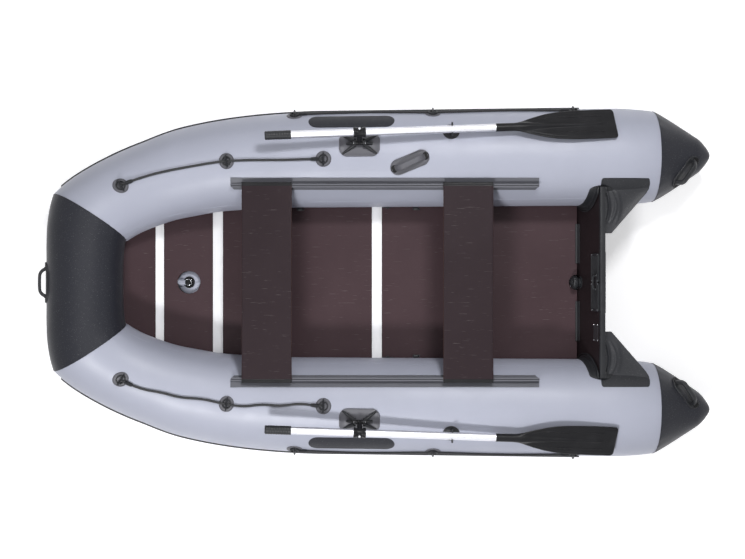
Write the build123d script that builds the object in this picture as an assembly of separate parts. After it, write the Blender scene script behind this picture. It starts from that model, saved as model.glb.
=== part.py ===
from build123d import *
import os
from functools import lru_cache
from math import atan, cos, degrees, radians, sin, sqrt, tan

# Inflatable boat, open cockpit, for two rowers or a small outboard.
# Millimetres. +X is the bow, +Y is port, +Z is up. The origin is at the middle of the
# boat's box, on the surface that the two main tubes lie on.

# ---- clearances ----
SEAT_GAP = 0.3  # between a piece and the curved tube that it is glued to
FIT = 0.15  # between flat faces that are assembled together
RUN_GAP = 0.5  # between pieces that turn or slide on each other

# ---- buoyancy tubes ----
TUBE_RADIUS = 235.0  # at the stern
TUBE_GAP = 750.0  # clear width between the two tubes at the stern
KNUCKLE_RADIUS = TUBE_RADIUS - 5  # where the sides start to bend to the bow
SEAM_RADIUS = TUBE_RADIUS - 53  # at the seam with the bow segment
BOW_RADIUS = SEAM_RADIUS - 5.5  # on the centreline
STERN_BEAM = TUBE_GAP / 2 + TUBE_RADIUS  # tube centre to boat centreline at the stern
KNUCKLE_BEAM = STERN_BEAM - 15
CONE_SEAM_X = -1336.0
KNUCKLE_X = 271.0
SEAM_X = 1351.0
SEAM_BEAM = STERN_BEAM - 310
BOW_X = 1381.0  # centre of the tube at the very bow
BOW_RISE = 165.0  # the bow's centre above that of the stern tubes
BOW_HEIGHT = TUBE_RADIUS + BOW_RISE
SEAM_HEIGHT = BOW_HEIGHT - 9
SIDE_REACH = 500.0  # how far the straight side keeps its heading into the bend
SEAM_REACH = 300.0  # how far the bend keeps the heading that it has at the seam
SEAM_HEADING = 47.0  # degrees from the boat's length, side tube at the seam
SEAM_CLIMB = 105.0  # rise of the side tube over SEAM_REACH
TAPER_POWER = 1.3
BOW_STRAIGHT = 150.0
BOW_REACH = 90.0
BOW_SWEEP = 19.0  # degrees that the bow segment has turned at the seam
BOW_DROP = 3.0

# ---- stern cones ----
CONE_LENGTH = 240.0
CONE_LIFT = 35.0  # the tip lies higher than the tube's centre
CONE_TIP_RADIUS = 82.0
CONE_TIP_ROUND = 52.0
CONE_SHAPE = 1.12  # above 1 the side bulges

# ---- bottom and keel ----
PANEL_THICK = 3.0
PANEL_ANGLE = 60.0  # degrees below level where the panel meets the tubes
KEEL_HEIGHT = 6.0
KEEL_BEND_X = 600.0
KEEL_SEAM_DROP = 117.1  # the keel's end below the bow's centre
KEEL_CURVE = (BOW_HEIGHT - KEEL_SEAM_DROP - KEEL_HEIGHT) / (SEAM_X - KEEL_BEND_X) ** 2
KEEL_AFT_X = -935.0
KEEL_FORE_X = 1034.0
GUARD_WIDTH = 62.0
GUARD_THICK = 2.5

# ---- floor ----
FLOOR_HEIGHT = 115.0
FLOOR_BEND_X = 798.5
FLOOR_AFT_X = -966.0
FLOOR_FORE_X = 1288.0
FLOOR_FORE_DROP = 151.2  # the floor's end below the bow's centre
FLOOR_CURVE = (BOW_HEIGHT - FLOOR_FORE_DROP - FLOOR_HEIGHT) / (FLOOR_FORE_X - FLOOR_BEND_X) ** 2
BOARD_THICK = 9.0
PROFILE_X = [1062.0, FLOOR_BEND_X, 0.0, -450.0]
PROFILE_WIDTH = 43.0
PROFILE_WEB = 4.0
PROFILE_SKIN = 2.5
VALVE_HOLE_X = 928.0
VALVE_HOLE_RADIUS = 56.0
KEEL_VALVE_RADIUS = 28.5
KEEL_CAP = (17.7, 8.0)  # radius, height
NOTCH_WIDTH = 96.0
NOTCH_REACH = 72.0  # forward of the floor's aft end

# ---- transom ----
TRANSOM_X = -981.0  # forward face at floor height
TRANSOM_RAKE = 12.5
TRANSOM_THICK = 25.0
TRANSOM_TOP = 2 * TUBE_RADIUS - 40
TRANSOM_TOP_HALF = STERN_BEAM - 173
TRANSOM_CORNER = 14.0
HOLDER_FOOT = 72.0
HOLDER_Y = STERN_BEAM - 155
HOLDER_FLOOR = 12.0
HOLDER_DEPTH = 30.0
HOLDER_WALL = 8.0
CAP_HALF_LENGTH = TRANSOM_TOP_HALF - 41
CAP_WALL = 2.5
CAP_DEPTH = 12.0
PAD_INNER = (275.0, 98.0, 8.0)
PAD_OUTER = (300.0, 170.0, 7.0)
PAD_SPLIT = 4.0
PAD_LUG = (66.0, 12.0, 22.0, 5.0)  # length, height, depth, wall
PAD_LUG_DROP = 22.0
PAD_DROP = 13.0  # below the transom's top edge
PAD_CORNER = 7.0
PAD_RIM = 6.0
PAD_PITCH = 17.0
PAD_RIB = 5.0
PAD_GROOVE = 1.5
PLATE = (82.0, 62.0, 1.5)
PLATE_Y = 238.0
PLATE_DROP = 30.0
DRAIN_FLANGE = (31.0, 6.0)  # radius, height
DRAIN_CAP = (24.2, 34.0)
DRAIN_Z = 148.0
CAP_FLUTES = 18
CLAMP = (195.0, 26.0, 14.0)  # length, height, depth
CLAMP_WALL = 4.5
CLAMP_Y = 191.0
CLAMP_SCREWS = [-70.0, 0.0, 70.0]
SCREW_HEAD = (3.4, 2.0)
GUSSET_Z = TRANSOM_TOP - 34
GUSSET_INNER_Y = 232.0
GUSSET_AFT_X = CONE_SEAM_X + 49
GUSSET_AFT_Y = STERN_BEAM - 174
GUSSET_THICK = 2.0
GUSSET_FLANGE = (58.0, 2.3)  # width round the tube, height over its skin

# ---- seats and rails ----
RAIL_FORE_X = 688.5
RAIL_AFT_X = -762.5
RAIL_Y = STERN_BEAM - 155
RAIL_INNER = RAIL_Y - 17
RAIL_OUTER = RAIL_Y + 37
RAIL_STRAP = 3.0
RAIL_BLOCK = 17.0
RAIL_END_CUT = 20.0  # across the corner notch at the rail's inboard ends
RAIL_TOP = 2 * TUBE_RADIUS - 23
RAIL_MIDDLE_Z = RAIL_TOP - 27
BEAD_RADIUS = 3.4
BEAD_NECK = 2.6
SEAT_X = {"front": 517.5, "rear": -428.0}
SEAT_WIDTH = 234.0
SEAT_THICK = 13.0
SEAT_CORNER = 22.0
SLIDER_WIDTH = 30.0
SEAT_HALF_SPAN = RAIL_Y + SLIDER_WIDTH / 2
SLIDER_THICK = 2.5
SLIDER_LENGTH = 226.0

# ---- oarlocks and oars ----
LOCK_X = 81.5
LOCK_OFFSET = 55.0  # barrel outboard of the tube's centre line
LOCK_BASE = (192.0, 116.0, 8.0)
LOCK_BASE_ROUND = 30.0
LOCK_BASE_MARGIN = 6.0  # flat border outside the ribs
LOCK_RIB = (12.0, 12.0)
BARREL_LIFT = 29.0
BARREL_RADIUS = 11.0
BARREL_LENGTH = 34.0
BARREL_PIN = 5.0
LUG_THICK = 9.0
STALK_LEAN = 35.0
STALK_LENGTH = 74.0  # barrel axis to oar axis
STALK_RADIUS = 9.5
STALK_PIN = 6.0
BOSS_RADIUS = 12.5
BOSS_REACH = 49.0
COLLAR_LENGTH = 57.0
COLLAR_RADIUS = 24.0
COLLAR_WAIST = 21.0
OAR_RADIUS = 17.5
OAR_SPLAY = 0.0332  # outboard per length, going aft
OAR_FALL = 0.078  # down per length, going aft
GRIP_REACH = 437.5  # oarlock to the grip's end, along X
GRIP_LENGTH = 121.0
GRIP_RADIUS = 21.0
GRIP_RINGS = 8
GRIP_GROOVE = 0.8
BLADE_START = 636.5
BLADE_END = 1206.5
FERRULE_LENGTH = 85.0
FERRULE_RADIUS = 20.5
BLADE_HALF_WIDTH = 71.0
BLADE_THICK = 5.0
BLADE_TILT = 22.0
BLADE_RIDGE = 12.0
BLADE_GROOVE = (275.0, 8.0, 1.2)  # length, width, depth
BLADE_GROOVE_Y = 40.0
BLADE_HOLE = (11.0, 6.5)
REST_X = -350.0
REST_ANGLE = 62.0
REST_RADIUS = 40.0
REST_DISC = 8.0
REST_LUG = (46.0, 20.0, 34.0)
REST_PLAY = 7.0  # round the stowed shaft

# ---- grab lines ----
ROPE_RADIUS = 5.0
EYE_RADIUS = 37.5
EYE_RING = (16.5, 23.5, 14.0)  # inner and outer radius, height
EYE_BRIDGE = (12.0, 16.0)  # width, height
INNER_EYES = [(1222.0, 84.0), (724.0, 90.0), (251.5, 94.0)]
OUTER_EYES = [(389.0, 26.0), (-270.0, 26.0), (-940.0, 26.0)]

# ---- handles, patches, strakes ----
HANDLE_LENGTH = 192.0
HANDLE_WIDTH = 75.0
HANDLE_BASE = 7.0
HANDLE_RISE = 42.0
HANDLE_GRIP = 9.5
HANDLE_FOOT = 62.0  # from the middle to where the arch stands
HANDLE_ARCH_ROUND = 18.0
HANDLE_RIM = (7.0, 2.5)  # width, depth of the tray inside it
HANDLE_POCKET = (78.0, 15.0, 11.5)  # from the middle, outer and inner radius
BOW_HANDLE_ANGLE = 16.0
CARRY_X = -154.0
CARRY_ANGLE = 99.0
CARRY_TURN = 22.0
CONE_HANDLE_S = 0.54
CONE_HANDLE_ANGLE = 122.0
CONE_HANDLE_TURN = 40.0
TIE_DOWNS = [("port", -50.0), ("starboard", -50.0), ("starboard", 520.0)]
TIE_ANGLE = 197.0
TIE_PATCH = 27.0
TIE_STRAP = (136.0, 25.0, 3.0)
TIE_RING = (14.0, 35.0, 8.0)
TIE_BUCKLE = (32.0, 32.0, 9.0)
TIE_LIFT = 6.0  # middle of the strap over the tube's skin
PATCH_LENGTH = 408.0
PATCH_X = 119.0
PATCH_ANGLES = (32.0, 54.0)
PATCH_THICK = 1.8
STRAKE_HEIGHT = 55.0
STRAKE_THICK = 13.0
STRAKE_ANGLE = -9.0

SIDES = {"port": 1, "starboard": -1}


# ---- the tubes' centre lines, port side ----
def bezier(points, u):
    """Point at u on the cubic Bezier curve of four control points."""
    a, b, c, d = points
    v = 1 - u
    return a * v**3 + b * (3 * v * v * u) + c * (3 * v * u * u) + d * u**3


def bezier_tangent(points, u):
    a, b, c, d = points
    v = 1 - u
    return ((b - a) * (v * v) + (c - b) * (2 * v * u) + (d - c) * (u * u)).normalized()


STERN = Vector(CONE_SEAM_X, STERN_BEAM, TUBE_RADIUS)
KNUCKLE = Vector(KNUCKLE_X, KNUCKLE_BEAM, KNUCKLE_RADIUS)
SEAM = Vector(SEAM_X, SEAM_BEAM, SEAM_HEIGHT)
AHEAD = (KNUCKLE - STERN).normalized()
SIDE = [
    KNUCKLE,
    KNUCKLE + AHEAD * SIDE_REACH,
    SEAM
    - Vector(cos(radians(SEAM_HEADING)), -sin(radians(SEAM_HEADING)), 0) * SEAM_REACH
    - Vector(0, 0, SEAM_CLIMB),
    SEAM,
]
BOW = [
    Vector(BOW_X, 0, BOW_HEIGHT),
    Vector(BOW_X, BOW_STRAIGHT, BOW_HEIGHT),
    SEAM
    + Vector(sin(radians(BOW_SWEEP)), -cos(radians(BOW_SWEEP)), 0) * BOW_REACH
    + Vector(0, 0, BOW_DROP),
    SEAM,
]
SEAM_NORMAL = (bezier_tangent(SIDE, 1) - bezier_tangent(BOW, 1)).normalized()


def side_radius(u):
    return KNUCKLE_RADIUS - (KNUCKLE_RADIUS - SEAM_RADIUS) * u**TAPER_POWER


def bow_radius(u):
    return BOW_RADIUS + (SEAM_RADIUS - BOW_RADIUS) * u * u


def ring(centre, tangent, radius):
    """Circle round the tube's centre line, its seam on the inboard side."""
    across = tangent.cross(Vector(0, 0, 1)).normalized()
    return Plane(origin=centre, x_dir=across, z_dir=tangent) * Circle(radius)


def mirrored(shape, side):
    return shape if side > 0 else mirror(shape, about=Plane.XZ)


def hull_at(x):
    """Centre, heading and radius of the port tube where its centre line passes x."""
    if x <= KNUCKLE_X:
        share = (x - CONE_SEAM_X) / (KNUCKLE_X - CONE_SEAM_X)
        centre = STERN + (KNUCKLE - STERN) * share
        return centre, AHEAD, TUBE_RADIUS + (KNUCKLE_RADIUS - TUBE_RADIUS) * share
    low, high = 0.0, 1.0
    for _ in range(40):
        u = (low + high) / 2
        if bezier(SIDE, u).X < x:
            low = u
        else:
            high = u
    return bezier(SIDE, u), bezier_tangent(SIDE, u), side_radius(u)


def hull_plane(x, angle, lift=0.0):
    """Plane on the port tube's skin: local X along the tube, local Z outward.

    The angle is 0 outboard, 90 on top and 180 inboard."""
    centre, heading, radius = hull_at(x)
    outward = Vector(0, 0, 1).cross(heading).normalized()
    up = heading.cross(outward)
    normal = outward * cos(radians(angle)) + up * sin(radians(angle))
    return Plane(origin=centre + normal * (radius + lift), x_dir=heading, z_dir=normal)


@lru_cache(maxsize=None)
def straight_tube(grow=0.0, tail=0.0):
    """The straight run of the port tube, its skin moved out by grow."""
    start = STERN - AHEAD * tail
    rings = [
        ring(start, AHEAD, TUBE_RADIUS + grow),
        ring(KNUCKLE, AHEAD, KNUCKLE_RADIUS + grow),
    ]
    return loft(rings, ruled=True)


@lru_cache(maxsize=None)
def bent_tube(grow=0.0):
    """The port tube from the knuckle to the bow seam, cut on the seam's plane."""
    steps = 8
    rings = []
    for i in range(steps + 1):
        u = i / steps
        rings.append(ring(bezier(SIDE, u), bezier_tangent(SIDE, u), side_radius(u) + grow))
    past = SEAM + bezier_tangent(SIDE, 1) * 90
    rings.append(ring(past, bezier_tangent(SIDE, 1), SEAM_RADIUS + grow))
    cut = Plane(origin=SEAM, z_dir=SEAM_NORMAL)
    return split(loft(rings), bisect_by=cut, keep=Keep.BOTTOM)


@lru_cache(maxsize=None)
def bow_tube(grow=0.0):
    """The bow segment between its two seams."""
    steps = 4
    half = []
    for i in range(1, steps + 1):
        u = i / steps
        half.append((bezier(BOW, u), bezier_tangent(BOW, u), bow_radius(u) + grow))
    tangent = bezier_tangent(BOW, 1)
    half.append((SEAM + tangent * 90, tangent, SEAM_RADIUS + grow))
    rings = []
    for centre, heading, radius in reversed(half):
        flipped = Vector(-heading.X, heading.Y, -heading.Z)
        rings.append(ring(Vector(centre.X, -centre.Y, centre.Z), flipped, radius))
    rings.append(ring(BOW[0], Vector(0, 1, 0), BOW_RADIUS + grow))
    for centre, heading, radius in half:
        rings.append(ring(centre, heading, radius))
    body = loft(rings)
    for side in SIDES.values():
        point = Vector(SEAM.X, side * SEAM.Y, SEAM.Z)
        normal = Vector(SEAM_NORMAL.X, side * SEAM_NORMAL.Y, SEAM_NORMAL.Z)
        body = split(body, bisect_by=Plane(origin=point, z_dir=normal), keep=Keep.TOP)
    return body


@lru_cache(maxsize=None)
def cone(grow=0.0):
    """Port stern cone: round sections that shrink along a centre line that lifts."""
    steps = 6
    rings = []
    for i in range(steps + 1):
        s = i / steps
        centre = STERN - AHEAD * (CONE_LENGTH * s) + Vector(0, 0, CONE_LIFT * s * s)
        heading = -AHEAD * CONE_LENGTH + Vector(0, 0, 2 * CONE_LIFT * s)
        radius = TUBE_RADIUS - (TUBE_RADIUS - CONE_TIP_RADIUS) * s**CONE_SHAPE
        rings.append(ring(centre, heading.normalized(), radius + grow))
    body = loft(rings)
    tip = body.edges().sort_by(Axis.X)[0]
    return fillet(tip, CONE_TIP_ROUND)


def cone_plane(share, angle, lift=0.0):
    """Plane on the port cone's skin, local X along the cone towards the bow."""
    radius = TUBE_RADIUS - (TUBE_RADIUS - CONE_TIP_RADIUS) * share**CONE_SHAPE
    slope = (TUBE_RADIUS - CONE_TIP_RADIUS) * CONE_SHAPE * share ** (CONE_SHAPE - 1) / CONE_LENGTH
    centre = STERN - AHEAD * (CONE_LENGTH * share) + Vector(0, 0, CONE_LIFT * share * share)
    outward = Vector(0, 0, 1).cross(AHEAD).normalized()
    up = AHEAD.cross(outward)
    round_way = outward * cos(radians(angle)) + up * sin(radians(angle))
    normal = (round_way - AHEAD * slope).normalized()
    along = (AHEAD - normal * AHEAD.dot(normal)).normalized()
    return Plane(origin=centre + round_way * radius + normal * lift, x_dir=along, z_dir=normal)


def solids_of(shape):
    return [s for s in shape.solids() if s.volume > 1.0]


def group(shapes):
    """One compound of the solids of several shapes."""
    found = []
    for shape in shapes:
        found += solids_of(shape)
    return Compound(found) if len(found) > 1 else found[0]


def both_sides(shape):
    return group([shape, mirror(shape, about=Plane.XZ)])


# ---- hull ----
def make_tube(side):
    body = straight_tube() + bent_tube()
    return mirrored(body, side)


def keel_line(x):
    """Height of the bottom panel's underside on the centreline."""
    return KEEL_HEIGHT + KEEL_CURVE * max(0.0, x - KEEL_BEND_X) ** 2


def floor_line(x):
    """Height of the floor's top where its boards meet."""
    return FLOOR_HEIGHT + FLOOR_CURVE * max(0.0, x - FLOOR_BEND_X) ** 2


def panel_edges():
    """Where the bottom panel meets the port tube, from the stern to the bow seam."""
    down = radians(180 + PANEL_ANGLE)
    stations = []
    for x in (TRANSOM_X, KNUCKLE_X):
        centre, heading, radius = hull_at(x)
        stations.append((centre, heading, radius))
    for u in (0.25, 0.5, 0.75, 0.9, 1.0):
        stations.append((bezier(SIDE, u), bezier_tangent(SIDE, u), side_radius(u)))
    found = []
    for centre, heading, radius in stations:
        outward = Vector(0, 0, 1).cross(heading).normalized()
        found.append(centre + (outward * cos(down) + Vector(0, 0, sin(down))) * radius)
    return found


def panel_line(x):
    """Height of the bottom panel's underside at its fold: straight between its stations."""
    stations = [(p.X, min(keel_line(p.X), p.Z)) for p in panel_edges()]
    for (x0, z0), (x1, z1) in zip(stations, stations[1:]):
        if x0 <= x <= x1:
            return z0 + (z1 - z0) * (x - x0) / (x1 - x0)
    return stations[0][1] if x < stations[0][0] else stations[-1][1]


def make_bottom_panel():
    sections = []
    for point in panel_edges():
        edge = point.Y + 4
        low = panel_line(point.X)
        corners = [
            (-edge, point.Z), (0, low), (edge, point.Z),
            (edge, point.Z + PANEL_THICK), (0, low + PANEL_THICK), (-edge, point.Z + PANEL_THICK),
        ]
        plane = Plane(origin=(point.X, 0, 0), x_dir=(0, 1, 0), z_dir=(1, 0, 0))
        sections.append(plane * make_face(Polyline(*corners, close=True)))
    return trim_to_hull(loft(sections, ruled=True), bow_tube(SEAT_GAP))


def make_keel_tube():
    inside = [p.X for p in panel_edges()] + PROFILE_X[1:2]
    rings = []
    for x in sorted([KEEL_AFT_X, KEEL_FORE_X] + [x for x in inside if KEEL_AFT_X < x < KEEL_FORE_X]):
        low = panel_line(x) + PANEL_THICK + 2 * SEAT_GAP
        high = floor_line(x) - BOARD_THICK - PROFILE_SKIN - 2 * SEAT_GAP
        rings.append(Plane(origin=(x, 0, (low + high) / 2), z_dir=(1, 0, 0)) * Circle((high - low) / 2))
    return loft(rings, ruled=True)


def make_keel_guard():
    """Wear strip along the keel under the bottom panel."""
    xs = [KEEL_AFT_X] + [p.X for p in panel_edges()[1:-1]]
    sections = []
    for x in xs:
        top = panel_line(x) - SEAT_GAP
        plane = Plane(origin=(x, 0, top - GUARD_THICK / 2), x_dir=(0, 1, 0), z_dir=(1, 0, 0))
        sections.append(plane * Rectangle(GUARD_WIDTH, GUARD_THICK))
    return loft(sections, ruled=True)


# ---- floor ----
def floor_joints():
    return [FLOOR_FORE_X] + PROFILE_X + [FLOOR_AFT_X]


@lru_cache(maxsize=None)
def plain_board(index, grow=0.0):
    """A floor board between two joints, its faces moved out by grow."""
    ends = floor_joints()
    fore, aft = ends[index], ends[index + 1]
    top_fore, top_aft = floor_line(fore), floor_line(aft)
    gap_fore = 0 if index == 0 else PROFILE_WEB / 2 + FIT - grow
    gap_aft = 0 if index == len(ends) - 2 else PROFILE_WEB / 2 + FIT - grow
    slope = (top_fore - top_aft) / (fore - aft)
    along = Vector(1, 0, slope).normalized()
    plane = Plane(origin=(aft, 0, top_aft), x_dir=along, z_dir=along.cross(Vector(0, 1, 0)))
    length = (fore - aft) / along.X
    half_fore = bow_half_width(fore)
    half_aft = bow_half_width(aft)
    corners = [
        (gap_aft, -half_aft), (length - gap_fore, -half_fore),
        (length - gap_fore, half_fore), (gap_aft, half_aft),
    ]
    face = make_face(Polyline(*corners, close=True))
    moved = Plane(origin=plane.origin + plane.z_dir * grow, x_dir=plane.x_dir, z_dir=plane.z_dir)
    return extrude(moved * face, -(BOARD_THICK + 2 * grow))


def bow_half_width(x):
    """Half the width from tube centre to tube centre."""
    return hull_at(min(x, SEAM_X - 1))[0].Y - 12


def trim_to_hull(body, *more):
    """What lies between the tubes: the port half is cut to its tube, then mirrored."""
    half = split(body, bisect_by=Plane.XZ, keep=Keep.BOTTOM)
    for cutter in (straight_tube(SEAT_GAP), bent_tube(SEAT_GAP), *more):
        half = half - cutter
    half = half.solids().sort_by(SortBy.VOLUME)[-1]
    return half + mirror(half, about=Plane.XZ)


def make_board(index):
    body = trim_to_hull(plain_board(index), bow_tube(SEAT_GAP))
    if index == 1:
        body = body - extrude(Pos(VALVE_HOLE_X, 0, 0) * Circle(VALVE_HOLE_RADIUS), 400)
    if index == len(PROFILE_X):
        notch = Pos(FLOOR_AFT_X, 0, 0) * SlotOverall(2 * NOTCH_REACH, NOTCH_WIDTH)
        body = body - extrude(notch, 400)
    return group(body.solids().sort_by(SortBy.VOLUME)[-1:])


def make_profile(index):
    """Aluminium H profile that grips the edges of two boards."""
    x = PROFILE_X[index]
    ends = floor_joints()
    slope = (floor_line(ends[index]) - floor_line(ends[index + 2])) / (ends[index] - ends[index + 2])
    tilt = -degrees(atan(slope))
    height = BOARD_THICK + 2 * PROFILE_SKIN
    half = bow_half_width(x)
    middle = floor_line(x) - BOARD_THICK / 2
    body = Pos(x, 0, middle) * Rot(0, tilt, 0) * Box(PROFILE_WIDTH, 2 * half, height)
    body = body - plain_board(index, FIT) - plain_board(index + 1, FIT)
    return trim_to_hull(body)


def twist_cap(radius, height):
    """Fluted cap with a finger bar across its dished top."""
    outline = [
        (0, 0), (radius, 0), (radius, height - 1.5), (radius - 1.5, height),
        (0.72 * radius, height), (0.62 * radius, 0.7 * height), (0, 0.7 * height),
    ]
    body = revolve(Plane.XZ * make_face(Polyline(*outline, close=True)), Axis.Z)
    body = body + Pos(0, 0, 0.75 * height) * Box(1.4 * radius, 0.26 * radius, 0.5 * height)
    for spot in PolarLocations(1.04 * radius, CAP_FLUTES):
        body = body - spot * Pos(0, 0, height / 2) * Cylinder(0.09 * radius, 2 * height)
    return body


def make_keel_valve():
    """Valve on the keel tube under the hole in the second board."""
    low = (keel_line(VALVE_HOLE_X) + PANEL_THICK + floor_line(VALVE_HOLE_X) - BOARD_THICK) / 2
    centre = VALVE_HOLE_X + 2
    keel = make_keel_tube()
    top = floor_line(VALVE_HOLE_X) - 3
    base = Pos(centre, 0, (low + top) / 2) * Cylinder(KEEL_VALVE_RADIUS, top - low)
    body = base - keel
    body = body + Pos(centre, 0, top) * twist_cap(*KEEL_CAP)
    return group(body.solids().sort_by(SortBy.VOLUME)[-1:])


# ---- transom ----
RAKE = radians(TRANSOM_RAKE)
TRANSOM_PLANE = Plane(
    origin=(TRANSOM_X, 0, FLOOR_HEIGHT),
    x_dir=(0, 1, 0),
    z_dir=(cos(RAKE), 0, sin(RAKE)),
)


def up_transom(z):
    """Distance along the transom's face from floor height to height z."""
    return (z - FLOOR_HEIGHT) / cos(RAKE)


@lru_cache(maxsize=None)
def plain_transom(grow=0.0):
    """The transom board before its sides are cut to the tubes."""
    edge = panel_edges()[0]
    dip = TRANSOM_THICK * sin(RAKE) + 0.6
    centre = up_transom(keel_line(TRANSOM_X) + PANEL_THICK + dip)
    corner = up_transom(edge.Z + PANEL_THICK + dip)
    top = up_transom(TRANSOM_TOP)
    half = STERN_BEAM - 50
    slope = (corner - centre) / edge.Y
    corners = [(-half, centre + half * slope), (0, centre), (half, centre + half * slope)]
    waist = up_transom(TUBE_RADIUS)
    corners += [(half, waist), (TRANSOM_TOP_HALF, waist), (TRANSOM_TOP_HALF, top)]
    corners += [(-TRANSOM_TOP_HALF, top), (-TRANSOM_TOP_HALF, waist), (-half, waist)]
    face = make_face(Polyline(*corners, close=True))
    face = fillet(face.vertices().sort_by(Axis.Y)[-2:], TRANSOM_CORNER)
    start = TRANSOM_PLANE * Pos(0, 0, grow)
    return extrude(start * face, -(TRANSOM_THICK + 2 * grow))


@lru_cache(maxsize=None)
def transom_board():
    half = split(plain_transom(), bisect_by=Plane.XZ, keep=Keep.BOTTOM)
    half = half - straight_tube(HOLDER_FLOOR)
    half = half.solids().sort_by(SortBy.VOLUME)[-1]
    return half + mirror(half, about=Plane.XZ)


@lru_cache(maxsize=None)
def holder():
    """Moulded channel glued to the port tube that grips the transom's curved side."""
    thick = TRANSOM_THICK + 2 * HOLDER_WALL
    low, high = up_transom(HOLDER_FOOT), up_transom(TRANSOM_TOP + 4)
    middle = Pos(HOLDER_Y, (low + high) / 2, HOLDER_WALL - thick / 2)
    slab = TRANSOM_PLANE * middle * Box(200, high - low, thick)
    channel = (slab & straight_tube(HOLDER_DEPTH)) - straight_tube(SEAT_GAP)
    channel = channel - plain_transom_slot()
    return group(channel.solids().sort_by(SortBy.VOLUME)[-1:])


@lru_cache(maxsize=None)
def plain_transom_slot():
    return plain_transom(FIT) - straight_tube(HOLDER_FLOOR - RUN_GAP)


def make_edge_cap():
    top = up_transom(TRANSOM_TOP)
    thick = TRANSOM_THICK + 2 * CAP_WALL
    cap = TRANSOM_PLANE * Pos(0, top + CAP_WALL - CAP_DEPTH / 2, CAP_WALL - thick / 2) * Box(
        2 * CAP_HALF_LENGTH, CAP_DEPTH, thick
    )
    return cap - plain_transom(FIT)


def ribbed_plate(length, height, thick):
    """Plate on its back, with cross ribs inside a rim."""
    body = extrude(RectangleRounded(length, height, PAD_CORNER), thick)
    room = height - 2 * PAD_RIM
    count = round(room / PAD_PITCH)
    for i in range(count):
        y = (i + 0.5 - count / 2) * room / count
        body = body - Pos(0, y, thick) * Box(length - 2 * PAD_RIM, room / count - PAD_RIB, 2 * PAD_GROOVE)
    return body


def make_motor_pad_inner():
    """Two ribbed plates on the transom's forward face, joined by a bent loop."""
    length, height, thick = PAD_INNER
    top = up_transom(TRANSOM_TOP) - PAD_DROP
    half = (length - PAD_SPLIT) / 2
    plate = ribbed_plate(half, height, thick)
    middle = (half + PAD_SPLIT) / 2
    plates = [TRANSOM_PLANE * Pos(side * middle, top - height / 2, 0) * plate for side in SIDES.values()]
    wide, tall, deep, wall = PAD_LUG
    spot = TRANSOM_PLANE * Pos(0, top - PAD_LUG_DROP, thick)
    foot = spot * Pos(0, 0, -PAD_GROOVE) * Box(wide + 4 * wall, tall, 2 * PAD_GROOVE)
    lug = spot * Pos(0, 0, deep / 2) * Box(wide, tall, deep)
    inside = spot * Pos(0, 0, (deep - wall) / 2) * Box(wide - 2 * wall, tall, deep - wall)
    return group([plates[0] + plates[1] + foot + lug - inside])


def make_motor_pad_outer():
    length, height, thick = PAD_OUTER
    top = up_transom(TRANSOM_TOP) - PAD_DROP
    place = TRANSOM_PLANE * Pos(0, top - height / 2, -TRANSOM_THICK) * Rot(0, 180, 0)
    return place * ribbed_plate(length, height, thick)


def make_blank_plate():
    length, height, thick = PLATE
    top = up_transom(TRANSOM_TOP) - PLATE_DROP
    return TRANSOM_PLANE * Pos(PLATE_Y, top - height / 2, thick / 2) * Box(length, height, thick)


def make_drain_valve():
    """Drain socket on the foot of the transom: a flange and a fluted cap."""
    radius, height = DRAIN_FLANGE
    flange = Pos(0, 0, height / 2) * Cylinder(radius, height)
    flange = chamfer(flange.edges().filter_by(GeomType.CIRCLE).sort_by(Axis.Z)[-1], 1.5)
    return TRANSOM_PLANE * Pos(0, up_transom(DRAIN_Z), 0) * (flange + twist_cap(*DRAIN_CAP))


def make_floor_clamps():
    """Angle bars screwed to the transom's foot, whose lip holds the floor's end down."""
    length, height, deep = CLAMP
    wall = CLAMP_WALL
    outline = [
        (1, 0), (1, deep), (wall, deep), (wall + 1.5, wall + 3), (wall + 4, wall),
        (height, wall), (height, 0),
    ]
    bar = extrude(Plane.YZ * make_face(Polyline(*outline, close=True)), length / 2, both=True)
    radius, proud = SCREW_HEAD
    for x in CLAMP_SCREWS:
        bar = bar + Pos(x, height * 0.65, wall + proud / 2) * Cylinder(radius, proud)
    return group([TRANSOM_PLANE * Pos(side * CLAMP_Y, 0, 0) * bar for side in SIDES.values()])


def make_gusset(side):
    """Fabric gusset from the transom's corner to the tube behind it, with a glued flange."""
    z = GUSSET_Z
    fore = TRANSOM_X - TRANSOM_THICK / cos(RAKE) - (z - FLOOR_HEIGHT) * tan(RAKE) - 2
    aft, low = GUSSET_AFT_X, GUSSET_AFT_Y
    high = low + 34
    corners = [(fore, GUSSET_INNER_Y), (fore, high), (aft, high), (aft, low)]
    body = extrude(Pos(0, 0, z) * make_face(Polyline(*corners, close=True)), GUSSET_THICK)
    body = body - straight_tube(SEAT_GAP)
    width, proud = GUSSET_FLANGE
    strip = Pos((fore + aft) / 2, low + width / 2 - 1, z) * Box(fore - aft, width, 250)
    flange = (strip & straight_tube(proud)) - straight_tube(SEAT_GAP)
    body = body + flange.solids().sort_by(Axis.Z)[-1] - holder()
    return mirrored(group(body.solids().sort_by(SortBy.VOLUME)[-1:]), side)


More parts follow.
